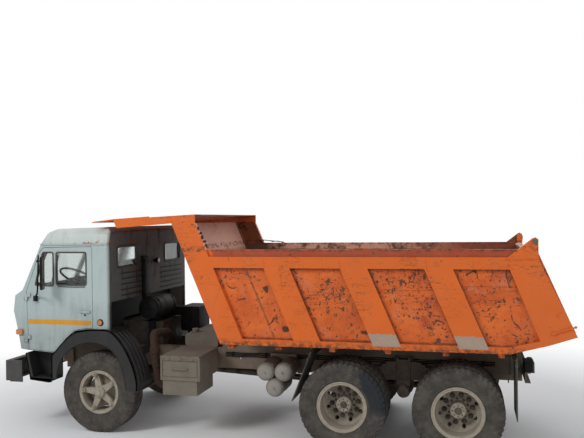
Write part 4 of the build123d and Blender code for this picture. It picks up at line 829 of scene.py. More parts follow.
class DUMPTRUCK_OT_cab_trim(bpy.types.Operator):
    """Makes the cab's window rubbers, window ledges, wipers, locks, lamp rims and mirror glass."""

    bl_idname = "dumptruck.cab_trim"
    bl_label = "Cab trim"

    def execute(self, context):
        rubber = Forge()
        slope = screen_place()
        for sign in (-1, 1):
            middle = sign * 0.527
            pane = box(about(middle, 0.507), (0.047, 0.597), 0.05)
            rubber.seal(pane, slope, 0.024, 0.007)
            low, high = span(sign, 0.44, 1.005)
            rubber.seal(box((low, high), (2.118, 2.39), 0.05), end_place(CAB_BACK, REARWARDS), 0.034, 0.01)
        rubber.piece("screen_rubbers", "frame", "flap_rubber")
        for side, sign in SIDES:
            face = side_place(sign)
            rubber = Forge()
            for window in (DOOR_WINDOW, QUARTER_WINDOW):
                rubber.seal(rounded(window, 0.028), face, 0.022, 0.006)
            rubber.piece(f"door_rubbers_{side}", f"door_{side}", "flap_rubber")
            metal = Forge()
            lock = shifted(face, -0.135, 1.52)
            metal.turned([(0.0, -0.002), (0.013, -0.002), (0.013, 0.004), (0.01, 0.006), (0.0045, 0.006),
                          (0.004, 0.003), (0.0, 0.003)], lock, 20)
            ledge = ((-0.52, 1.882, 0.004), (-0.4, 1.88, 0.006), (-0.25, 1.88, 0.006), (-0.13, 1.882, 0.004))
            metal.bar([face @ Vector(p) for p in ledge], 0.005, 8)
            for z in (1.16, 1.184, 1.71, 1.734):
                for x in (-1.014, -0.958):
                    metal.bolt(shifted(face, x, z, 0.017), 0.009, washer=False)
            metal.piece(f"door_lock_{side}", f"door_{side}", "black_steel")
            self.mirror(sign, side)
            self.wiper(slope, sign, side)
            self.lamp_rims(sign, side)
        return {"FINISHED"}

    def mirror(self, sign, side):
        """The bent arm and the tall head, turned towards the driver, with its glass and rim."""
        arm = Forge()
        y = sign * 1.4
        arm.brick((-0.868, -0.82), span(sign, 1.199, 1.24), (1.69, 1.76), 0.008)
        arm.rod([(-0.845, sign * 1.22, 1.74), (-0.805, sign * 1.258, 1.776), (-0.76, sign * 1.3, 1.802),
                 (-0.722, sign * 1.352, 1.82), (-0.696, y, 1.832), (-0.689, y, 1.85), (-0.68, y, 2.08),
                 (-0.672, y, 2.3)], 0.0105, 12)
        for z in (1.942, 2.222):
            arm.rod([(-0.686, y, z), (-0.622, y, z)], 0.01, 8)
            arm.turned([(0.0, -0.014), (0.017, -0.014), (0.017, 0.014), (0.0, 0.014)],
                       facing(at(-0.684, y, z), (0, 0, 1)), 16)
        head = Matrix.Rotation(radians(-24 * sign), 4, "Z")
        head.translation = at(-0.622, y, 2.072)
        rear, front = head @ REARWARDS, head @ FORWARDS
        shape = box((-0.086, 0.086), (-0.2125, 0.2125), 0.034)
        arm.plate(shape, -0.001, 0.013, rear, 0.002)
        arm.plate(shape, -0.001, 0.013, front, 0.009)
        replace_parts(arm.piece(f"mirror_head_{side}", f"door_{side}", "black_steel"), f"mirror_{side}")
        inner = box((-0.076, 0.076), (-0.203, 0.203), 0.026)
        glass = Forge()
        glass.plate(inner, 0.0125, 0.015, rear, 0.001)
        glass.piece(f"mirror_glass_{side}", f"door_{side}", "rod_steel")
        rim = Forge()
        rim.seal(inner, shifted(rear, 0, 0, 0.013), 0.012, 0.006)
        rim.piece(f"mirror_rim_{side}", f"door_{side}", "flap_rubber")

    def wiper(self, slope, sign, side):
        """The pivot, the bent arm and the blade on the screen."""
        forge = Forge()
        pivot = slope @ Vector((sign * 0.3, -0.02, 0.03))
        forge.turned([(0.0, -0.03), (0.018, -0.03), (0.018, 0.006), (0.012, 0.012), (0.0, 0.012)],
                     shifted(slope, sign * 0.3, -0.02, 0.024), 20)
        tip = slope @ Vector((sign * 0.6, 0.26, 0.03))
        raised = [pivot.lerp(tip, t) + Vector((-0.008, 0, 0)) for t in (0.35, 0.7)]
        forge.bar([pivot, *raised, tip], 0.006, 8, flat=0.5)
        blade = [slope @ Vector((sign * (0.6 + 0.06 * t), 0.26 + 0.26 * t, 0.014 + 0.004 * t * t))
                 for t in (-0.9, -0.5, 0.0, 0.5, 0.9)]
        forge.bar(blade, 0.008, 8, flat=0.6)
        forge.piece(f"wiper_{side}", "frame", "black_steel")

    def lamp_rims(self, sign, side):
        """The headlamp's rim, bolts and glass, and the amber lamps on the cab's side."""
        forge = Forge()
        pocket = end_place(-1.29, FORWARDS)
        middle = -sign * 1.015
        outline = box(about(middle, 0.118), (0.697, 0.853), 0.02)
        forge.seal(outline, pocket, 0.016, 0.007)
        for dx in (-0.15, 0.15):
            for z in (0.66, 0.88):
                forge.bolt(shifted(pocket, middle + dx, z), 0.016)
        forge.piece(f"headlamp_rim_{side}", "frame", "black_steel")
        lamp = Forge()
        pane = box(about(middle, 0.112), (0.702, 0.848), 0.012)
        lamp.plate(pane, -0.05, -0.014, pocket, 0.006)
        for dx in (-0.052, 0.056):
            lamp.turned([(0.05, -0.014), (0.05, -0.012), (0.036, -0.009), (0.0, -0.007)],
                        shifted(pocket, middle + dx, 0.775), 32)
        lamp.piece(f"headlamp_{side}", "frame", None).data.materials.append(MADE["headlamp_glass"])
        amber = Forge()
        amber.brick((-1.138, -1.04), span(sign, 1.199, 1.234), (1.248, 1.316), 0.014, 0.006)
        amber.turned([(0.035, 0.0), (0.035, 0.012), (0.03, 0.018), (0.012, 0.021), (0.0, 0.021)],
                     shifted(side_place(sign), 0.082, 1.43), 36)
        glow = amber.piece(f"amber_lamps_{side}", "frame", None)
        glow.data.materials.append(MADE["amber_lens"])
        marker = Forge()
        marker.turned([(0.031, 0.016), (0.038, 0.014), (0.043, 0.007), (0.044, 0.0)],
                      shifted(side_place(sign), 0.082, 1.43), 36)
        marker.piece(f"marker_rim_{side}", "frame", "black_steel")


def stuffed(piece, limit):
    """Fills a closed cover like cloth under pressure; no point moves further than the limit."""
    remesh = piece.modifiers.new("cover", "REMESH")
    remesh.mode = "VOXEL"
    remesh.voxel_size = 0.007
    before = bpy.data.meshes.new_from_object(piece.evaluated_get(bpy.context.evaluated_depsgraph_get()))
    piece.modifiers.clear()
    piece.data = before
    cloth = piece.modifiers.new("filling", "CLOTH")
    cloth.settings.use_pressure = True
    cloth.settings.uniform_pressure_force = 4.0
    cloth.settings.effector_weights.gravity = 0.0
    cloth.settings.quality = 5
    cloth.point_cache.frame_end = 20
    scene = bpy.context.scene
    for number in range(1, 21):
        scene.frame_set(number)
    after = bpy.data.meshes.new_from_object(piece.evaluated_get(bpy.context.evaluated_depsgraph_get()))
    piece.modifiers.clear()
    scene.frame_set(1)
    for start, end in zip(before.vertices, after.vertices):
        move = end.co - start.co
        start.co += move * min(1.0, limit / max(move.length, 1e-6))
    before.update()


def soften(piece, crown, seams, depth=0.012):
    """Swells a pad's faces between its edges, then presses its sewn channels in."""
    mesh = piece.data
    lo = Vector([min(v.co[k] for v in mesh.vertices) for k in range(3)])
    hi = Vector([max(v.co[k] for v in mesh.vertices) for k in range(3)])
    half, middle = (hi - lo) / 2, (hi + lo) / 2
    for vertex in mesh.vertices:
        p = [(vertex.co[k] - middle[k]) / half[k] for k in range(3)]
        for k in range(3):
            others = [abs(p[m]) for m in range(3) if m != k]
            swell = (1 - others[0] ** 3) * (1 - others[1] ** 3)
            vertex.co[k] += crown[k] * p[k] * swell
        for axis, where in seams:
            near = abs(vertex.co[axis] - where)
            if near < 0.022:
                pull = depth * (1 - near / 0.022) ** 2
                direction = Vector([0.0 if k == axis else p[k] for k in range(3)])
                vertex.co -= direction.normalized() * pull if direction.length > 0.5 else Vector()
    mesh.update()


def pad(name, lo, hi, lean, crown, seams):
    """One stuffed pad: a rounded block, finely divided, swollen, with its channels."""
    lo, hi = Vector(lo), Vector(hi)
    mesh = bpy.data.meshes.new(name)
    shape = bmesh.new()
    bmesh.ops.create_cube(shape, size=1.0)
    for vertex in shape.verts:
        vertex.co = Vector([lo[k] + (vertex.co[k] + 0.5) * (hi[k] - lo[k]) for k in range(3)])
    bmesh.ops.bevel(shape, geom=shape.edges[:], offset=min(hi - lo) * 0.24, segments=4, profile=0.6,
                    affect="EDGES")
    long_edges = [e for e in shape.edges if e.calc_length() > 0.05]
    bmesh.ops.subdivide_edges(shape, edges=long_edges, cuts=9, use_grid_fill=True)
    bmesh.ops.triangulate(shape, faces=[f for f in shape.faces if len(f.verts) > 4])
    shape.to_mesh(mesh)
    shape.free()
    piece = bpy.data.objects.new(name, mesh)
    bpy.context.scene.collection.objects.link(piece)
    stuffed(piece, 0.012)
    mesh = piece.data
    soften(piece, crown, seams)
    for vertex in mesh.vertices:
        vertex.co.x += (vertex.co.z - lo.z) * lean
    mesh.shade_smooth()
    mesh.materials.append(MADE["seat_cloth"])
    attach(piece, "frame")
    return piece


class DUMPTRUCK_OT_seats(bpy.types.Operator):
    """Sews the seats: cushions and backs with channels, on their moulded boxes."""

    bl_idname = "dumptruck.seats"
    bl_label = "Seats"

    def execute(self, context):
        made = []
        x = AXLE_X
        rows = ((DRIVER_Y, 0.245, 1.22), (0.0, 0.19, 1.4), (-DRIVER_Y, 0.245, 1.22))
        for number, (y, half, floor) in enumerate(rows, 1):
            channels = tuple((1, y + half * share) for share in (-0.45, 0.0, 0.45))
            for name, lo, hi, lean, crown, seams in (
                ("cushion", (x - 0.506, y - half + 0.016, 1.532), (x - 0.104, y + half - 0.016, 1.616), 0.0,
                 (0.003, 0.003, 0.008), channels),
                ("back", (x - 0.138, y - half + 0.016, 1.662), (x - 0.07, y + half - 0.016, 2.182), 0.028,
                 (0.008, 0.003, 0.003), channels + ((2, 2.02),)),
            ):
                piece = pad(f"seat_{name}_{number}", lo, hi, lean, crown, seams)
                made.append(piece)
            base = Forge()
            base.plate(box((x - 0.478, x - 0.092), (y - half + 0.042, y + half - 0.042), 0.03),
                       floor, 1.519, None, 0.006)
            for dx in (-0.42, -0.15):
                for dy in (-half + 0.03, half - 0.03):
                    base.bolt(facing((x + dx, y + dy, floor), (0, 0, 1)), 0.018)
            made.append(base.piece(f"seat_box_{number}", "frame", "interior_plastic"))
        for piece in made:
            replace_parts(piece, "seats")
        return {"FINISHED"}


class DUMPTRUCK_OT_interior(bpy.types.Operator):
    """Makes the dials, the gear lever, pedals, column stalk and wheel pad inside the cab."""

    bl_idname = "dumptruck.interior"
    bl_label = "Interior"

    def execute(self, context):
        forge = Forge()
        for dy, radius in ((-0.11, 0.05), (0.0, 0.034), (0.09, 0.05), (0.19, 0.026), (-0.2, 0.026)):
            forge.turned([(radius + 0.006, -0.004), (radius + 0.006, 0.005), (radius, 0.008),
                          (radius - 0.003, 0.003), (radius - 0.003, 0.0), (0.0, 0.0)],
                         facing(at(-0.845, DRIVER_Y + dy, 1.68), (1.0, 0.0, 0.15)), 32)
        forge.plate(box((-0.3, 0.3), (-0.055, 0.055), 0.02), -0.004, 0.004,
                    facing(at(-0.848, 0.62, 1.675), (1.0, 0.0, 0.1)), 0.002)
        forge.piece("dials_and_locker", "frame", "black_steel")
        lever = Forge()
        lever.rod([(-0.62, -0.24, 1.4), (-0.6, -0.26, 1.52), (-0.56, -0.3, 1.66), (-0.52, -0.32, 1.76)],
                  0.009, 12)
        lever.turned([(0.0, -0.026), (0.016, -0.022), (0.025, 0.0), (0.022, 0.016), (0.01, 0.026),
                      (0.0, 0.027)], facing(at(-0.51, -0.325, 1.785), (0.1, -0.05, 1.0)), 20)
        lever.turned([(0.06, 0.0), (0.056, 0.014), (0.044, 0.022), (0.036, 0.04), (0.022, 0.052),
                      (0.01, 0.058), (0.009, 0.07)], facing(at(-0.62, -0.24, 1.4), (0.1, -0.1, 1.0)), 24)
        for dy in (0.12, 0.02, -0.1):
            y = DRIVER_Y + dy
            lever.rod([(-0.93, y, 1.4), (-0.9, y, 1.3), (-0.84, y, 1.235)], 0.009, 8)
            lever.plate(box((-0.032, 0.032), (-0.042, 0.042), 0.01), 0.0, 0.01,
                        facing(at(-0.838, y, 1.236), (0.8, 0.0, 0.6)), 0.003)
        lever.rod([(-0.665, -0.69, 1.8), (-0.66, -0.78, 1.822), (-0.655, -0.86, 1.835)], 0.006, 8)
        lever.piece("levers_and_pedals", "frame", "black_steel")
        horn = Forge()
        horn.turned([(0.046, -0.02), (0.047, 0.006), (0.04, 0.018), (0.022, 0.024), (0.0, 0.025)],
                    facing(at(-0.56, DRIVER_Y, 1.96), (sin(STEER_LEAN), 0, cos(STEER_LEAN))), 32)
        horn.piece("wheel_pad", "steering_wheel", "interior_plastic")
        return {"FINISHED"}


# Torn strips on the bed's upper edge: the width, then the line
TORN_STRIPS = (
    (0.055, (1.475, 1.188, 2.405), (1.56, 1.176, 2.4), (1.7, 1.192, 2.386), (1.86, 1.204, 2.37),
     (1.95, 1.198, 2.33)),
    (0.02, (3.3, -1.186, 2.362), (3.46, -1.196, 2.366), (3.62, -1.212, 2.352), (3.74, -1.196, 2.366)),
    (0.022, (4.02, -1.188, 2.364), (4.2, -1.21, 2.352), (4.46, -1.205, 2.362), (4.7, -1.19, 2.352)),
)


class DUMPTRUCK_OT_bed_details(bpy.types.Operator):
    """Makes the bed's weld beads, edge hooks, doubled plates, torn strips, pin nuts and canopy hem."""

    bl_idname = "dumptruck.bed_details"
    bl_label = "Bed details"

    def execute(self, context):
        rng = random.Random(11)
        for side, sign in SIDES:
            weld = Forge()
            face, outer = side_place(sign, PANEL_OUT), side_place(sign, BED_OUT)
            beads = [(face, (edge + 0.36, PANEL_LOW), (edge + 0.001, PANEL_HIGH), 0.002, 0.0045)
                     for x0 in RIBS_AT_RAIL for edge in (x0 - 0.002, x0 + RIB_LENGTH + 0.002)]
            beads += [(face, (2.001, PANEL_LOW), (1.64, PANEL_HIGH), 0.002, 0.0045),
                      (face, (5.402, 1.322), (5.082, PANEL_HIGH), 0.002, 0.0045),
                      (outer, (5.04, 2.256), (5.372, 2.256), 0.001, 0.0045)]
            beads += [(outer, (x0, 2.143), (x0 - 0.02, 2.27), 0.0005, 0.003)
                      for x0 in (2.29, 2.72, 3.21, 3.98, 4.19)]
            beads.append((outer, (2.476, 2.138), (2.504, 1.9), 0.0005, 0.003))
            for place, start, end, lift, radius in beads:
                self.bead(weld, rng, place, (*start, lift), (*end, lift), radius)
            weld.piece(f"bed_welds_{side}", "bed", "bed_paint")
            hooks = Forge()
            for x in (2.05, 2.85, 3.7, 4.6):
                spot = outer @ Vector((x, 1.244, -0.004))
                hooks.bar([spot + Vector((0, sign * out, -drop)) for out, drop in
                           ((0.0, 0.0), (0.016, 0.004), (0.024, 0.022), (0.014, 0.036))], 0.005, 8)
            hooks.bar([outer @ Vector((5.514, 1.454, 0.012)), outer @ Vector((5.745, 1.53, 0.012))], 0.009,
                      12)
            for x, z in ((5.53, 1.459), (5.705, 1.517)):
                hooks.plate(box(about(x, 0.013), about(z, 0.017), 0.005, 3), -0.002, 0.022, outer, 0.003)
            for x, z in ((5.514, 1.454), (5.745, 1.53)):
                hooks.turned([(0.0, -0.004), (0.014, -0.004), (0.014, 0.004), (0.01, 0.008), (0.0, 0.008)],
                             facing(outer @ Vector((x, z, 0.012)), (0, sign, 0)), 18)
            hooks.turned([(0.034, 0.0), (0.034, 0.006), (0.022, 0.006), (0.021, 0.0)],
                         shifted(outer, *GATE_PIN), 32)
            hooks.piece(f"bed_hooks_{side}", "bed", "bed_paint")
        doubled = Forge()
        for sign in (-1, 1):
            for x0, x1, low in ((3.519, 4.158, 1.899), (4.479, 5.075, 1.95)):
                drop = (2.138 - low) * BED_LEAN
                outline = [(x0 + drop, low), (x1 + drop, low), (x1, 2.138), (x0, 2.138)]
                doubled.plate(outline, -0.001, 0.005, side_place(sign, PANEL_OUT), 0.002)
                face = side_place(sign, PANEL_OUT + 0.004)
                self.bead(doubled, rng, face, (x0 + drop, low, 0.0), (x1 + drop, low, 0.0), 0.004)
        doubled.piece("doubled_plates", "bed", "bed_paint")
        strip = Forge()
        for width, *line in TORN_STRIPS:
            self.bent_sheet(strip, line, width, rng)
        strip.piece("torn_edges", "bed", "bed_paint", 50)
        scraps, rag = Forge(), random.Random(37)
        for x, z, wide, tall in ((1.44, 2.618, 0.02, 0.036), (1.478, 2.56, 0.034, 0.026),
                                 (1.496, 2.508, 0.022, 0.044), (1.528, 2.462, 0.034, 0.024),
                                 (1.548, 2.412, 0.02, 0.034)):
            outline = []
            for turn in (k * pi / 5 for k in range(10)):
                across = x + wide * rag.uniform(0.45, 1.0) * cos(turn)
                outline.append((across, z + tall * rag.uniform(0.45, 1.0) * sin(turn)))
            scraps.plate(outline, -0.002, 0.001, side_place(-1, 1.232), 0.0005)
        wire = ((1.25, 2.69), (1.205, 2.675), (1.16, 2.64), (1.15, 2.605), (1.185, 2.59), (1.225, 2.61),
                (1.245, 2.64), (1.262, 2.585), (1.3, 2.572))
        scraps.rod([(x, 1.166 + 0.008 * (k % 2), z) for k, (x, z) in enumerate(wire)], 0.006, 8)
        scraps.piece("torn_scraps", "bed", "rusty_pipe")
        gate = Forge()
        for sign in (-1, 1):
            gate.turned([(0.0, 0.0), (0.03, 0.0), (0.03, 0.006), (0.024, 0.01), (0.0, 0.01)],
                        facing(at(GATE_PIN[0], sign * 1.262, GATE_PIN[1]), (0, sign, 0)), 28)
            gate.bolt(facing(at(GATE_PIN[0], sign * 1.271, GATE_PIN[1]), (0, sign, 0)), 0.022)
        gate.piece("gate_pin_nuts", "tailgate", "dusty_steel")
        roofline = Forge()
        roofline.rod([(0.01, y / 10, 2.712) for y in range(-12, 13)], 0.007, 8)
        for sign in (-1, 1):
            roofline.rod([(0.01, sign * 1.245, 2.71), (0.305, sign * 1.245, 2.742),
                          (0.8, sign * 1.246, 2.77)], 0.006, 8)
        roofline.piece("canopy_hem", "bed", "bed_paint")
        return {"FINISHED"}

    def bead(self, forge, rng, place, start, end, radius):
        """A slightly uneven weld bead from start to end on a place."""
        a, b = Vector(start), Vector(end)
        count = max(6, int((b - a).length / 0.016))
        path = [place @ (a.lerp(b, k / count) + Vector((rng.uniform(-1, 1), 0, rng.uniform(-1, 1))) * 0.0008)
                for k in range(count + 1)]
        forge.bar(path, radius, 6)

    def bent_sheet(self, forge, line, width, rng):
        """A torn, curled strip of sheet along a line, hanging inwards by its width."""
        points, faces = [], []
        steps = 10
        for k in range((len(line) - 1) * steps + 1):
            i = min(k // steps, len(line) - 2)
            t = (k - i * steps) / steps
            ease = t * t * (3 - 2 * t)
            here = at(*(a * (1 - ease) + b * ease for a, b in zip(line[i], line[i + 1])))
            curl = 0.012 * sin(k * 0.55) + rng.uniform(-0.002, 0.002)
            reach = width * (0.75 + 0.25 * sin(k * 0.9 + 1.0))
            for v, lift in ((0.0, 0.0), (0.5, 0.01), (1.0, curl)):
                for thick in (0.0, -0.004):
                    points.append(here + Vector((0, -v * reach * (1 if line[0][1] > 0 else -1),
                                                 lift + thick)))
        rows = len(points) // 6
        for k in range(rows - 1):
            a, b = k * 6, (k + 1) * 6
            for m in (0, 2):
                faces += [(a + m, b + m, b + m + 2, a + m + 2), (a + m + 1, a + m + 3, b + m + 3, b + m + 1)]
            faces += [(a, a + 1, b + 1, b), (a + 4, b + 4, b + 5, a + 5)]
        last = rows * 6 - 6
        faces += [(0, 2, 3, 1), (2, 4, 5, 3), (last, last + 1, last + 3, last + 2),
                  (last + 2, last + 3, last + 5, last + 4)]
        forge.add(points, faces)


class DUMPTRUCK_OT_chassis_details(bpy.types.Operator):
    """Makes the chassis' bolts, U-bolt nuts, clips, clamps, caps, drains and brackets."""

    bl_idname = "dumptruck.chassis_details"
    bl_label = "Chassis details"

    def execute(self, context):
        for side, sign in SIDES:
            rail = side_place(sign, RAIL_OUT)
            bolts = Forge()
            for x in (-0.955, 1.345, 2.445, 5.195):
                for dx in (-0.028, 0.028):
                    for z in (0.79, 0.85, 0.91, 0.97):
                        bolts.bolt(shifted(rail, x + dx, z), 0.018)
            for k in range(9):
                bolts.bolt(shifted(rail, 1.55 + 0.4 * k, 1.062), 0.02)
            bolts.piece(f"rail_bolts_{side}", "frame", "chassis_paint")
            springs = Forge()
            for x in (-0.075, 0.075):
                for y in (0.478, 0.382):
                    springs.bolt(facing(at(x, sign * y, 0.662), (0, 0, 1)), 0.022, 0.018)
            for x, y in U_BOLTS:
                springs.bolt(facing(at(x, sign * y, 0.976), (0, 0, 1)), 0.03, 0.024)
            for x in (3.4, 4.3):
                rise = 0.725 - (x - BOGIE_X) ** 2 / (2 * 2.45)
                spot = at(x, sign * 0.503, rise)
                half = ((0.05, -0.006), (0.051, 0.045), (0.047, 0.072))
                clip = [(out, lift) for out, lift in half] + [(-out, lift) for out, lift in half[::-1]]
                springs.bar([spot + Vector((0, sign * out, lift)) for out, lift in clip], 0.01, 8, flat=0.5)
            for place in ring_places(AXLE_X + BOGIE_X, sign * 0.64, 0.052, 6, sign):
                place.translation.z += TRUNNION_Z - HUB_Z
                springs.bolt(place, 0.014, washer=False)
            springs.turned([(0.07, -0.002), (0.07, 0.004), (0.036, 0.01), (0.0, 0.012)],
                           facing(at(BOGIE_X, sign * 0.64, TRUNNION_Z), (0, sign, 0)), 32)
            springs.piece(f"spring_bolts_{side}", "frame", "spring_steel")
        self.left_boxes()
        self.tank_fittings()
        self.drive_line()
        return {"FINISHED"}

    def left_boxes(self):
        """The battery box's latches, the air tanks' ends and straps, and the air pipes on the left rail."""
        face = side_place(-1)
        forge = Forge()
        for x in (1.01, 1.168, 1.326):
            forge.plate(box(about(x, 0.022), (0.99, 1.038), 0.006, 3), 0.004, 0.012, face, 0.002)
            forge.bolt(shifted(face, x, 1.026, 0.011), 0.012, washer=False)
        handle = ((1.06, 0.885, 0.004), (1.062, 0.885, 0.026), (1.168, 0.883, 0.03), (1.274, 0.885, 0.026),
                  (1.276, 0.885, 0.004))
        forge.bar([face @ Vector(p) for p in handle], 0.007, 10)
        for x in (0.931, 1.403):
            for z in (0.76, 0.87, 0.99):
                forge.bolt(shifted(face, x, z), 0.011, washer=False)
        forge.piece("battery_box_latches", "frame", "dusty_steel")
        tanks = Forge()
        for x, z in AIR_TANKS:
            place = facing(at(x, -0.95, z), (0, -1, 0))
            tanks.turned([(0.1, -0.004), (0.098, 0.01), (0.084, 0.024), (0.056, 0.033), (0.024, 0.037),
                          (0.0, 0.038)], place, 48)
            tanks.turned([(0.1005, -0.002), (0.106, 0.001), (0.1095, -0.006), (0.112, -0.014)], place, 48)
            tanks.turned([(0.0, 0.058), (0.009, 0.058), (0.011, 0.044), (0.016, 0.036), (0.016, 0.03)], place,
                         18)
            for y in (-0.9, -0.66):
                tanks.turned([(0.1122, -0.016), (0.1145, -0.014), (0.1145, 0.014), (0.1122, 0.016)],
                             facing(at(x, y, z), (0, -1, 0)), 48)
                tanks.bolt(facing(at(x + 0.08, y, z + 0.082), (1, 0, 1)), 0.014)
            tanks.rod([(x, -0.8, z - 0.11), (x, -0.8, z - 0.128), (x, -0.8, z - 0.14)], 0.009, 10)
        tanks.piece("air_tank_ends", "frame", "tank_paint")
        pipes = Forge()
        for k, z in enumerate((0.96, 0.938, 0.916)):
            pipes.rod([(1.5 + 0.08 * i, -0.448, z + 0.003 * sin(i * 1.3 + k)) for i in range(44)], 0.0065, 8)
        for x in (1.6, 2.05, 2.75, 3.3, 4.3, 4.8):
            pipes.plate(box(about(x, 0.012), (0.905, 0.972), 0.004, 3),
                        0.0, 0.024, side_place(-1, RAIL_OUT), 0.003)
        pipes.piece("air_pipes", "frame", "black_steel")

    def tank_fittings(self):
        """The fuel cap, pipe clamps, flap bolts, rear lamp rims and the air cleaner's bolts."""
        cap = Forge()
        cap.turned([(0.0, 0.0), (0.052, 0.0), (0.054, 0.01), (0.054, 0.026), (0.046, 0.034), (0.018, 0.036),
                    (0.0, 0.036)], facing(at(1.95, 1.05, 1.0), (0, 0, 1)), 40)
        for x in (1.67, 2.28):
            for z in (0.6, 0.9):
                cap.bolt(facing(at(x, 1.156, z), (0, 1, 0)), 0.016)
        cap.piece("tank_caps", "frame", "tank_paint")
        pipe = Forge()
        for spot, way in ((at(0.688, -0.9, 1.045), (0.05, 0, -1)), (at(0.714, -0.9, 0.845), (0.1, 0, -1)),
                          (at(0.655, -0.7, 1.24), (0.1, -1, 0.05))):
            place = facing(spot, way)
            pipe.turned([(0.0535, -0.016), (0.058, -0.014), (0.058, 0.014), (0.0535, 0.016)], place, 40)
            pipe.bolt(shifted(place, 0.06, 0.0) @ Matrix.Rotation(radians(90), 4, "Y"), 0.014)
        pipe.piece("exhaust_clamps", "frame", "rusty_pipe")
        flaps = Forge()
        for sign in (-1, 1):
            for k in range(5):
                flaps.bolt(facing(at(5.139, sign * (0.7 + 0.11 * k), 1.125), (-1, 0, 0)), 0.016)
                flaps.bolt(facing(at(2.822 - 0.03, sign * (0.7 + 0.11 * k), 1.11), (-1, 0, 0.4)), 0.016)
        flaps.piece("flap_bolts", "frame", "dusty_steel")
        lamps = Forge()
        for sign in (-1, 1):
            middle = sign * 0.75
            lamps.seal(box(about(middle, 0.138), (0.947, 1.058), 0.012), end_place(5.335, REARWARDS), 0.012,
                       0.019)
        lamps.piece("rear_lamp_rims", "frame", "flap_rubber")
        drum = Forge()
        for y in (-0.415, 0.035):
            drum.bolt(facing(at(CLEANER_X + 0.11, y, CLEANER_Z + 0.112), (1, 0, 1)), 0.016)
        end = facing(at(CLEANER_X, CLEANER_END, CLEANER_Z), (0, -1, 0))
        for k in range(8):
            turn = TURN * k / 8
            spot = at(CLEANER_X + 0.05 * cos(turn), CLEANER_END, CLEANER_Z + 0.05 * sin(turn))
            drum.bolt(facing(spot, (0, -1, 0)), 0.01, washer=False)
        drum.turned([(0.0, 0.0), (0.02, 0.0), (0.018, 0.018), (0.01, 0.026), (0.0, 0.027)], end, 20)
        drum.piece("cleaner_fittings", "frame", "black_steel")

    def drive_line(self):
        """The shaft flanges' bolts and the brake chambers with their brackets."""
        forge = Forge()
        for x in REAR_WHEELS_X:
            for k in range(12):
                turn = TURN * k / 12
                forge.bolt(facing((x + 0.206, 0.048 * cos(turn), HUB_Z + 0.048 * sin(turn)), (1, 0, 0)),
                           0.013, washer=False)
            for sign in (-1, 1):
                place = facing((x - 0.16, sign * 0.5, HUB_Z + 0.12), (0, sign, 0))
                forge.turned([(0.0, -0.05), (0.06, -0.046), (0.078, -0.03), (0.082, -0.004), (0.088, 0.0),
                              (0.082, 0.004), (0.078, 0.036), (0.05, 0.052), (0.0, 0.054)], place, 32)
                forge.plate(box((-0.05, 0.11), (-0.09, 0.02), 0.02, 3), -0.06, -0.048, place, 0.003)
        forge.piece("axle_fittings", "frame", "cast_iron")


def arc(centre, radius, start, end, steps=24):
    """Points of an arc in side view, angles in degrees from the rear."""
    return [(centre[0] + radius * cos(radians(start + (end - start) * k / steps)),
             centre[1] + radius * sin(radians(start + (end - start) * k / steps))) for k in range(steps + 1)]


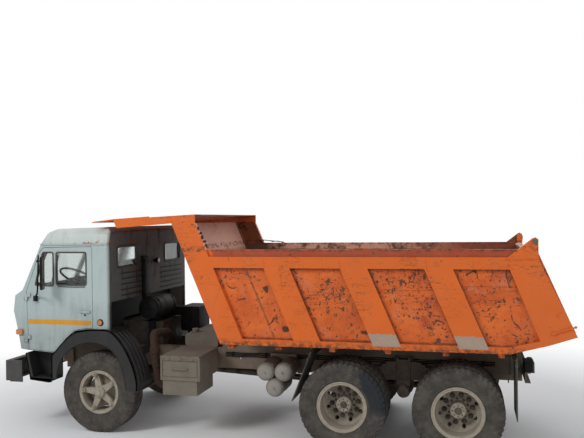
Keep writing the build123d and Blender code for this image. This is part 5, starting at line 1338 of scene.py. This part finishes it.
class DUMPTRUCK_OT_mudguards(bpy.types.Operator):
    """Moulds the front mudguards: arch, fluted rear shell, rolled wheel opening and the open step."""

    bl_idname = "dumptruck.mudguards"
    bl_label = "Mudguards"

    def execute(self, context):
        top = [(-0.6, 0.69), (-0.6, 1.012), (-0.584, 1.012), (-0.42, 1.186), (-0.284, 1.304), (-0.12, 1.333),
               (-0.025, 1.3452), (0.25, 1.3452)]
        arch = smoothed(top, 0.07)
        shell = smoothed([(0.12, 1.3452), (0.25, 1.3452), (0.425, 1.165), (0.56, 0.9), (0.612, 0.69),
                          (0.604, 0.59)], 0.16, 10)
        opening = arc((-0.025, 0.68), 0.51, 178, 70, 30)
        low = [(0.149 * (1 - t) ** 2 + 0.799 * t * (1 - t) + 0.452 * t ** 2,
                1.159 * (1 - t) ** 2 + 2.181 * t * (1 - t) + 0.6 * t ** 2)
               for t in (0.15, 0.3, 0.45, 0.6, 0.75, 0.9, 1.0)]
        outer = arch[1:-1] + shell[2:]
        face = opening + low + [(0.545, 0.577)] + outer[::-1] + [(-0.6, 0.69)]
        flute = [p for p in smoothed(shell[4:], 0.05, 2) if 0.66 < p[1] < 1.3]
        for side, sign in SIDES:
            forge = Forge()
            out = sign * GUARD_OUT
            forge.slab(face, sign * 1.234, out)
            forge.band(arch, 0.016, sign * 1.165, out)
            forge.band(shell, 0.016, sign * 0.85, out)
            for y in (1.195, 1.105, 1.015, 0.925):
                forge.rod([(x + 0.001, sign * y, z) for x, z in flute], 0.014, 8, flat=0.5)
            forge.rod([(0.604, sign * 0.85, 0.586), (0.604, sign * 1.05, 0.585),
                       (0.604, sign * 1.246, 0.586)], 0.012, 12)
            forge.rod([(x, sign * 1.2495, z) for x, z in opening + low], 0.007, 8)
            forge.slab([(0.47, 0.97), (0.5, 0.97), (0.5, 1.075), (0.47, 1.075)], sign * RAIL_OUT, sign * 0.87)
            self.step(forge, sign)
            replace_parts(forge.piece(f"mudguard_{side}", "frame", "mudguard", 40), "front_mudguards")
        return {"FINISHED"}

    def step(self, forge, sign):
        """The open step under the door, with its grid of bars."""
        out, back = sign * GUARD_OUT, sign * 1.0
        forge.slab([(-0.908, 0.672), (-0.632, 0.65), (-0.592, 0.664), (-0.592, 0.7), (-0.912, 0.704)], out,
                   back)
        forge.slab([(-0.982, 1.015), (-0.966, 1.015), (-0.896, 0.68), (-0.912, 0.68)], out, back)
        forge.slab([(-0.97, 1.015), (-0.6, 1.015), (-0.6, 0.69), (-0.905, 0.69)], back, back - sign * 0.016)
        forge.slab([(-0.982, 1.015), (-0.94, 1.015), (-0.87, 0.7), (-0.6, 0.694), (-0.6, 0.65),
                    (-0.64, 0.642), (-0.916, 0.668)], out, out - sign * 0.01)
        for k in range(6):
            x = -0.885 + 0.048 * k
            forge.rod([(x, sign * 1.02, 0.704), (x, sign * 1.125, 0.706), (x, sign * 1.235, 0.704)], 0.006, 8,
                      flat=0.7)
        forge.rod([(-0.946, sign * 1.2495, 1.012), (-0.905, sign * 1.2495, 0.84),
                   (-0.872, sign * 1.2495, 0.706)], 0.006, 8)


class DUMPTRUCK_OT_behind_cab(bpy.types.Operator):
    """Makes the air cleaner with its duct, the silencer box, the oil tank and the work lamp."""

    bl_idname = "dumptruck.behind_cab"
    bl_label = "Behind the cab"

    def execute(self, context):
        cleaner = Forge()
        cleaner.turned([(0.0, 0.0), (0.07, 0.0), (0.076, 0.004), (0.138, 0.02), (0.15, 0.036), (0.15, 0.106),
                        (0.156, 0.11), (0.156, 0.134), (0.15, 0.138), (0.15, 0.29), (0.147, 0.294),
                        (0.147, 0.3), (0.15, 0.304), (0.15, 0.556), (0.156, 0.56), (0.156, 0.586),
                        (0.15, 0.59), (0.15, 0.608), (0.142, 0.618), (0.0, 0.618)],
                       facing(at(CLEANER_X, CLEANER_END, CLEANER_Z), (0, 1, 0)), 64)
        for sign in (-1, 1):
            cleaner.brick((0.377, 0.457), span(sign, RAIL_OUT, 0.382), (1.02, 1.392), 0.01)
        cleaner.brick((0.377, 0.457), (-RAIL_OUT, RAIL_OUT), (1.346, 1.392), 0.01)
        for y in (-0.4, 0.03):
            cleaner.rod([(CLEANER_X + 0.158 * sin(a), y, CLEANER_Z - 0.158 * cos(a)) for a in
                         [radians(-60 + 12 * k) for k in range(11)]], 0.01, 8, flat=0.6)
        cleaner.brick((0.236, 0.296), (-0.35, -0.218), (1.545, 2.15), 0.018, 0.003)
        cleaner.slab(smoothed([(0.236, 2.14), (0.302, 2.14), (0.302, 2.19), (0.262, 2.235), (0.236, 2.235)],
                              0.012, 3), -0.356, -0.212)
        for k in range(5):
            z = 2.15 + 0.01 * k
            cleaner.rod([(0.303, -0.34, z), (0.304, -0.284, z), (0.303, -0.228, z)], 0.003, 6)
        for z in (1.72, 1.95):
            cleaner.rod([(0.232, -0.354, z), (0.3, -0.354, z), (0.3, -0.214, z), (0.232, -0.214, z)], 0.005,
                        8)
        cleaner.brick((0.59, 0.88), (0.15, 0.59), (1.13, 1.48), 0.035, 0.01)
        for k in range(7):
            x = 0.615 + 0.038 * k
            cleaner.rod([(x, 0.149, 1.17), (x, 0.146, 1.3), (x, 0.149, 1.44)], 0.007, 8, flat=0.6)
        cleaner.brick((0.62, 0.85), (0.352, RAIL_OUT), (1.018, 1.132), 0.01)
        cleaner.turned([(0.07, 0.0), (0.07, 0.04), (0.066, 0.05), (0.07, 0.06), (0.066, 0.07), (0.07, 0.08),
                        (0.066, 0.09), (0.07, 0.1), (0.07, 0.18), (0.0, 0.19)],
                       facing(at(CLEANER_X, 0.07, CLEANER_Z), (0, 1, 0)), 40)
        cleaner.brick((0.4, 0.6), (0.2, 0.262), (1.345, 1.47), 0.02, 0.006)
        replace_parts(cleaner.piece("cleaner_drum", "frame", "black_steel"), "air_cleaner")
        oil = Forge()
        section = box((0.917, 1.383), (1.0203, 1.198), 0.045, 6)
        oil.slab(section, -RAIL_OUT, RAIL_OUT)
        for y in (-0.3, 0.24):
            strap = [(x + (0.005 if x > 1.15 else -0.005), z + 0.004) for x, z in section]
            oil.slab(strap, y, y + 0.06)
        oil.turned([(0.045, -0.012), (0.045, 0.026), (0.048, 0.03), (0.048, 0.046), (0.04, 0.052),
                    (0.0, 0.053)], facing(at(1.027, -0.33, 1.198), (0, 0, 1)), 32)
        oil.piece("oil_tank", "frame", "dusty_steel")
        lamp = Forge()
        place = facing(at(CAB_BACK, 0.11, 2.15), (1, 0, 0))
        lamp.turned([(0.022, 0.0), (0.022, 0.02), (0.04, 0.024), (0.042, 0.058), (0.036, 0.062)], place, 32)
        lamp.piece("work_lamp_body", "frame", "black_steel")
        pane = Forge()
        pane.turned([(0.036, 0.058), (0.03, 0.064), (0.016, 0.067), (0.0, 0.068)], place, 32)
        pane.piece("work_lamp_glass", "frame", None).data.materials.append(MADE["headlamp_glass"])
        wall = Forge()
        for k in range(5):
            z = 1.745 + 0.072 * k
            for y0, y1 in ((-0.905, -0.285), (0.275, 1.07)):
                wall.rod([(0.219, y0, z), (0.224, y0 + 0.02, z), (0.226, (y0 + y1) / 2, z),
                          (0.224, y1 - 0.02, z), (0.219, y1, z)], 0.012, 8, flat=0.5)
        wall.piece("wall_ribs", "frame", "cab_paint")
        grille = Forge()
        for k in range(5):
            z = 1.318 + 0.046 * k
            x = -1.12 - (z - 1.277) * 0.242
            for y0, y1 in ((-0.68, -0.04), (0.04, 0.68)):
                grille.rod([(x, y0, z), (x, (y0 + y1) / 2, z), (x, y1, z)], 0.01, 8, flat=0.45)
        grille.piece("grille_slats", "frame", "black_steel")
        return {"FINISHED"}


class DUMPTRUCK_OT_rear_end(bpy.types.Operator):
    """Makes the rear beam, the lamp housings with their lenses, the towing jaw and the rear springs."""

    bl_idname = "dumptruck.rear_end"
    bl_label = "Rear end"

    def execute(self, context):
        beam = Forge()
        beam.slab([(5.25, 0.83), (5.31, 0.83), (5.31, 0.842), (5.262, 0.842), (5.262, 0.938), (5.31, 0.938),
                   (5.31, 0.95), (5.25, 0.95)], -0.9, 0.9)
        for low, high in ((0.848, 0.874), (0.906, 0.932)):
            beam.brick((5.262, 5.4), (-0.07, 0.07), (low, high), 0.03)
        beam.brick((5.25, 5.3), (-0.08, 0.08), (0.836, 0.944), 0.01)
        beam.turned([(0.02, -0.01), (0.02, 0.1), (0.03, 0.102), (0.03, 0.112), (0.0, 0.114)],
                    facing(at(5.365, 0.0, 0.84), (0, 0, 1)), 24)
        for sign in (-1, 1):
            for y in (0.2, 0.3, 0.4):
                beam.bolt(facing(at(5.262, sign * y, 0.89), (1, 0, 0)), 0.02)
        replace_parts(beam.piece("rear_beam", "frame", "chassis_paint"), "rear_lamps")
        housing, panes = Forge(), Forge()
        for sign in (-1, 1):
            housing.brick((5.245, 5.334), span(sign, 0.61, 0.89), (0.945, 1.06), 0.01)
            for near, far in ((0.622, 0.698), (0.704, 0.784), (0.79, 0.878)):
                panes.plate(box(span(sign, near, far), (0.956, 1.049), 0.01, 3),
                            0.0, 0.018, end_place(5.333, REARWARDS), 0.004)
        housing.piece("rear_lamp_housings", "frame", "black_steel")
        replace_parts(panes.piece("rear_lamp_lenses", "frame", "lamp_glass"), "rear_lamps")
        self.springs()
        return {"FINISHED"}

    def springs(self):
        """Nine curved leaves a side on their trunnion, clamped by U-bolts, with the axle seats."""
        forge = Forge()
        low, leaves, pack, reach = 0.725, 9, 0.225, 0.64
        rise = low - 0.64
        radius = (reach ** 2 + rise ** 2) / (2 * rise)
        for sign in (-1, 1):
            inner, outer = sign * 0.458, sign * 0.548
            for leaf in range(leaves):
                half = reach * (1 - 0.75 * leaf / leaves)
                near = pack * leaf / leaves
                line = [(BOGIE_X + x, low + near + (radius ** 2 - x * x) ** 0.5 - radius)
                        for x in (-half + 2 * half * k / 16 for k in reversed(range(17)))]
                wider = 0.0012 * (leaf % 2)
                forge.band(line, pack / leaves - 0.0025, inner + sign * wider, outer - sign * wider)
            trunnion = facing(at(BOGIE_X, sign * RAIL_OUT, TRUNNION_Z), (0, sign, 0))
            forge.turned([(0.09, 0.0), (0.09, 0.01), (0.084, 0.014), (0.084, 0.15), (0.078, 0.164),
                          (0.07, 0.168), (0.07, 0.2), (0.062, 0.208), (0.0, 0.208)], trunnion, 40)
            forge.slab([(3.73, 0.62), (3.76, 0.56), (3.94, 0.56), (3.97, 0.62), (3.97, 1.0), (3.73, 1.0)],
                       sign * RAIL_OUT, sign * 0.456)
            forge.brick((3.764, 3.936), span(sign, 0.45, 0.562), (0.64, 0.728), 0.01)
            forge.brick((3.756, 3.944), span(sign, 0.448, 0.57), (0.95, 0.976), 0.012)
            for x, y in U_BOLTS:
                forge.rod([(x, sign * y, z) for z in (0.655, 0.83, 1.004)], 0.0115, 12)
            for x in (3.19, 4.51):
                forge.slab([(x - 0.075, 0.575), (x + 0.075, 0.575), (x + 0.06, 0.642), (x + 0.045, 0.652),
                            (x - 0.045, 0.652), (x - 0.06, 0.642)], inner, outer)
                forge.turned([(0.072, 0.0), (0.086, 0.004), (0.086, 0.086), (0.072, 0.09)],
                             facing(at(x, inner, HUB_Z), (0, sign, 0)), 32)
        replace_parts(forge.piece("rear_leaf_packs", "frame", "spring_steel"), "rear_springs")


class DUMPTRUCK_PG_colours(bpy.types.PropertyGroup):
    """Sizes and colours a user would change."""

    floor: bpy.props.FloatVectorProperty(
        name="Floor", description="Colour of the studio floor", subtype="COLOR", size=3,
        default=(0.8, 0.8, 0.8), min=0.0, max=1.0)
    key_power: bpy.props.FloatProperty(
        name="Key light", description="Power of the large key light", default=640.0, min=0.0, unit="POWER")


class DUMPTRUCK_OT_finishes(bpy.types.Operator):
    """Gives every solid its worn procedural finish."""

    bl_idname = "dumptruck.finishes"
    bl_label = "Finishes"

    def execute(self, context):
        MADE.update({name: make(name, *values) for name, (make, *values) in FINISHES.items()})
        for part in frame["record"]["subparts"]:
            node = NODES[part["node"]]
            for place in node.material_slots:
                place.material = MADE[part["material_slot"]]
        return {"FINISHED"}


class DUMPTRUCK_OT_stage(bpy.types.Operator):
    """Makes the pale floor, soft studio lights and the camera at the photograph's viewing angle."""

    bl_idname = "dumptruck.stage"
    bl_label = "Stage"

    def execute(self, context):
        settings = context.scene.dump_truck
        scene = context.scene
        ground = Forge()
        ground.add([(-60.0, -60.0, 0.0), (60.0, -60.0, 0.0), (60.0, 60.0, 0.0), (-60.0, 60.0, 0.0)],
                   [(0, 1, 2, 3)])
        floor = ground.piece("floor", None, None)
        f = Finish("floor_paint", tuple(settings.floor), 0.9)
        soft = f.noise(2.5, 3.0)
        f.set(f.mix(soft, tuple(settings.floor), tuple(c * 0.985 for c in settings.floor)))
        away = f.length_of(f.x, f.y)
        far_white(f, f.shader.outputs[0], (away - 4.6).above(1.6, 1.6))
        floor.data.materials.append(f.material)
        world = bpy.data.worlds.new("studio")
        scene.world = world
        world.use_nodes = True
        light_world(world.node_tree)
        for name, place, aim, size, power in (
            ("key", (-6.5, -9.5, 8.5), (0.0, 0.0, 1.2), 3.2, settings.key_power * 1.12),
            ("fill", (8.5, -7.5, 5.0), (0.5, 0.0, 1.2), 6.0, settings.key_power * 0.28),
            ("back", (1.0, 9.0, 7.0), (0.0, 0.0, 1.2), 6.0, settings.key_power * 0.45),
        ):
            lamp = bpy.data.lights.new(name, "AREA")
            lamp.size = size
            lamp.energy = power
            holder = bpy.data.objects.new(name, lamp)
            holder.location = place
            holder.rotation_euler = (Vector(aim) - Vector(place)).to_track_quat("-Z", "Y").to_euler()
            scene.collection.objects.link(holder)
        lens_data = bpy.data.cameras.new("camera")
        lens_data.sensor_width = 36.0
        lens_data.lens = 42.79
        camera = bpy.data.objects.new("camera", lens_data)
        scene.collection.objects.link(camera)
        yaw, roll = 0.251, -0.012
        ahead = Vector((-sin(yaw), cos(yaw), 0.001)).normalized()
        right = Vector((cos(yaw), sin(yaw), 0.0))
        up = right.cross(ahead)
        across = right * cos(roll) + up * sin(roll)
        upward = up * cos(roll) - right * sin(roll)
        pose = Matrix((across, upward, -ahead)).transposed().to_4x4()
        pose.translation = at(4.666142, -9.169044, 2.713632)
        camera.matrix_world = pose
        scene.camera = camera
        scene.view_settings.view_transform = "Standard"
        return {"FINISHED"}


def far_white(finish, shader, amount):
    """The shader, with plain white over it for the camera by amount."""
    tree = finish.tree
    glow = tree.nodes.new("ShaderNodeEmission")
    blend = tree.nodes.new("ShaderNodeMixShader")
    finish.plug(blend.inputs[0], amount * finish.seen())
    tree.links.new(shader, blend.inputs[1])
    tree.links.new(glow.outputs[0], blend.inputs[2])
    tree.links.new(blend.outputs[0], tree.nodes["Material Output"].inputs[0])


def light_world(tree):
    """An even pale light, and pure white where the camera sees past the floor."""
    tree.nodes.clear()
    rays = tree.nodes.new("ShaderNodeLightPath").outputs
    seen, both, choose, out, studio, white = (tree.nodes.new(f"ShaderNode{kind}") for kind in (
        "Math", "Math", "MixShader", "OutputWorld", "Background", "Background"))
    seen.operation = both.operation = "MAXIMUM"
    pale, plain = (0.92, 0.96, 1.0, 1.0), (1.0, 1.0, 1.0, 1.0)
    for node, colour, strength in ((studio, pale, 0.55), (white, plain, 1.0)):
        node.inputs["Color"].default_value = colour
        node.inputs["Strength"].default_value = strength
    for start, end in (
        (rays["Is Camera Ray"], both.inputs[0]), (rays["Is Glossy Ray"], both.inputs[1]),
        (both.outputs[0], seen.inputs[0]), (rays["Is Transmission Ray"], seen.inputs[1]),
        (seen.outputs[0], choose.inputs[0]), (studio.outputs[0], choose.inputs[1]),
        (white.outputs[0], choose.inputs[2]), (choose.outputs[0], out.inputs[0]),
    ):
        tree.links.new(start, end)


class DUMPTRUCK_PT_panel(bpy.types.Panel):
    """Lists the steps that dress the truck."""

    bl_label = "Dump truck"
    bl_idname = "DUMPTRUCK_PT_panel"
    bl_space_type = "VIEW_3D"
    bl_region_type = "UI"
    bl_category = "Dump truck"

    def draw(self, context):
        settings = context.scene.dump_truck
        for name in ("floor", "key_power"):
            self.layout.prop(settings, name)
        for step in STEPS:
            self.layout.operator(step.bl_idname)


STEPS = (DUMPTRUCK_OT_finishes, DUMPTRUCK_OT_tyres, DUMPTRUCK_OT_wheel_fittings, DUMPTRUCK_OT_mudguards,
         DUMPTRUCK_OT_cab_trim, DUMPTRUCK_OT_seats, DUMPTRUCK_OT_interior, DUMPTRUCK_OT_behind_cab,
         DUMPTRUCK_OT_rear_end, DUMPTRUCK_OT_bed_details, DUMPTRUCK_OT_chassis_details, DUMPTRUCK_OT_stage)
CLASSES = (DUMPTRUCK_PG_colours, *STEPS, DUMPTRUCK_PT_panel)


def register():
    for cls in CLASSES:
        bpy.utils.register_class(cls)
    bpy.types.Scene.dump_truck = bpy.props.PointerProperty(type=DUMPTRUCK_PG_colours)


def unregister():
    del bpy.types.Scene.dump_truck
    for cls in reversed(CLASSES):
        bpy.utils.unregister_class(cls)


def main():
    register()
    for step in STEPS:
        group, name = step.bl_idname.split(".")
        getattr(getattr(bpy.ops, group), name)()


if __name__ == "__main__":
    main()
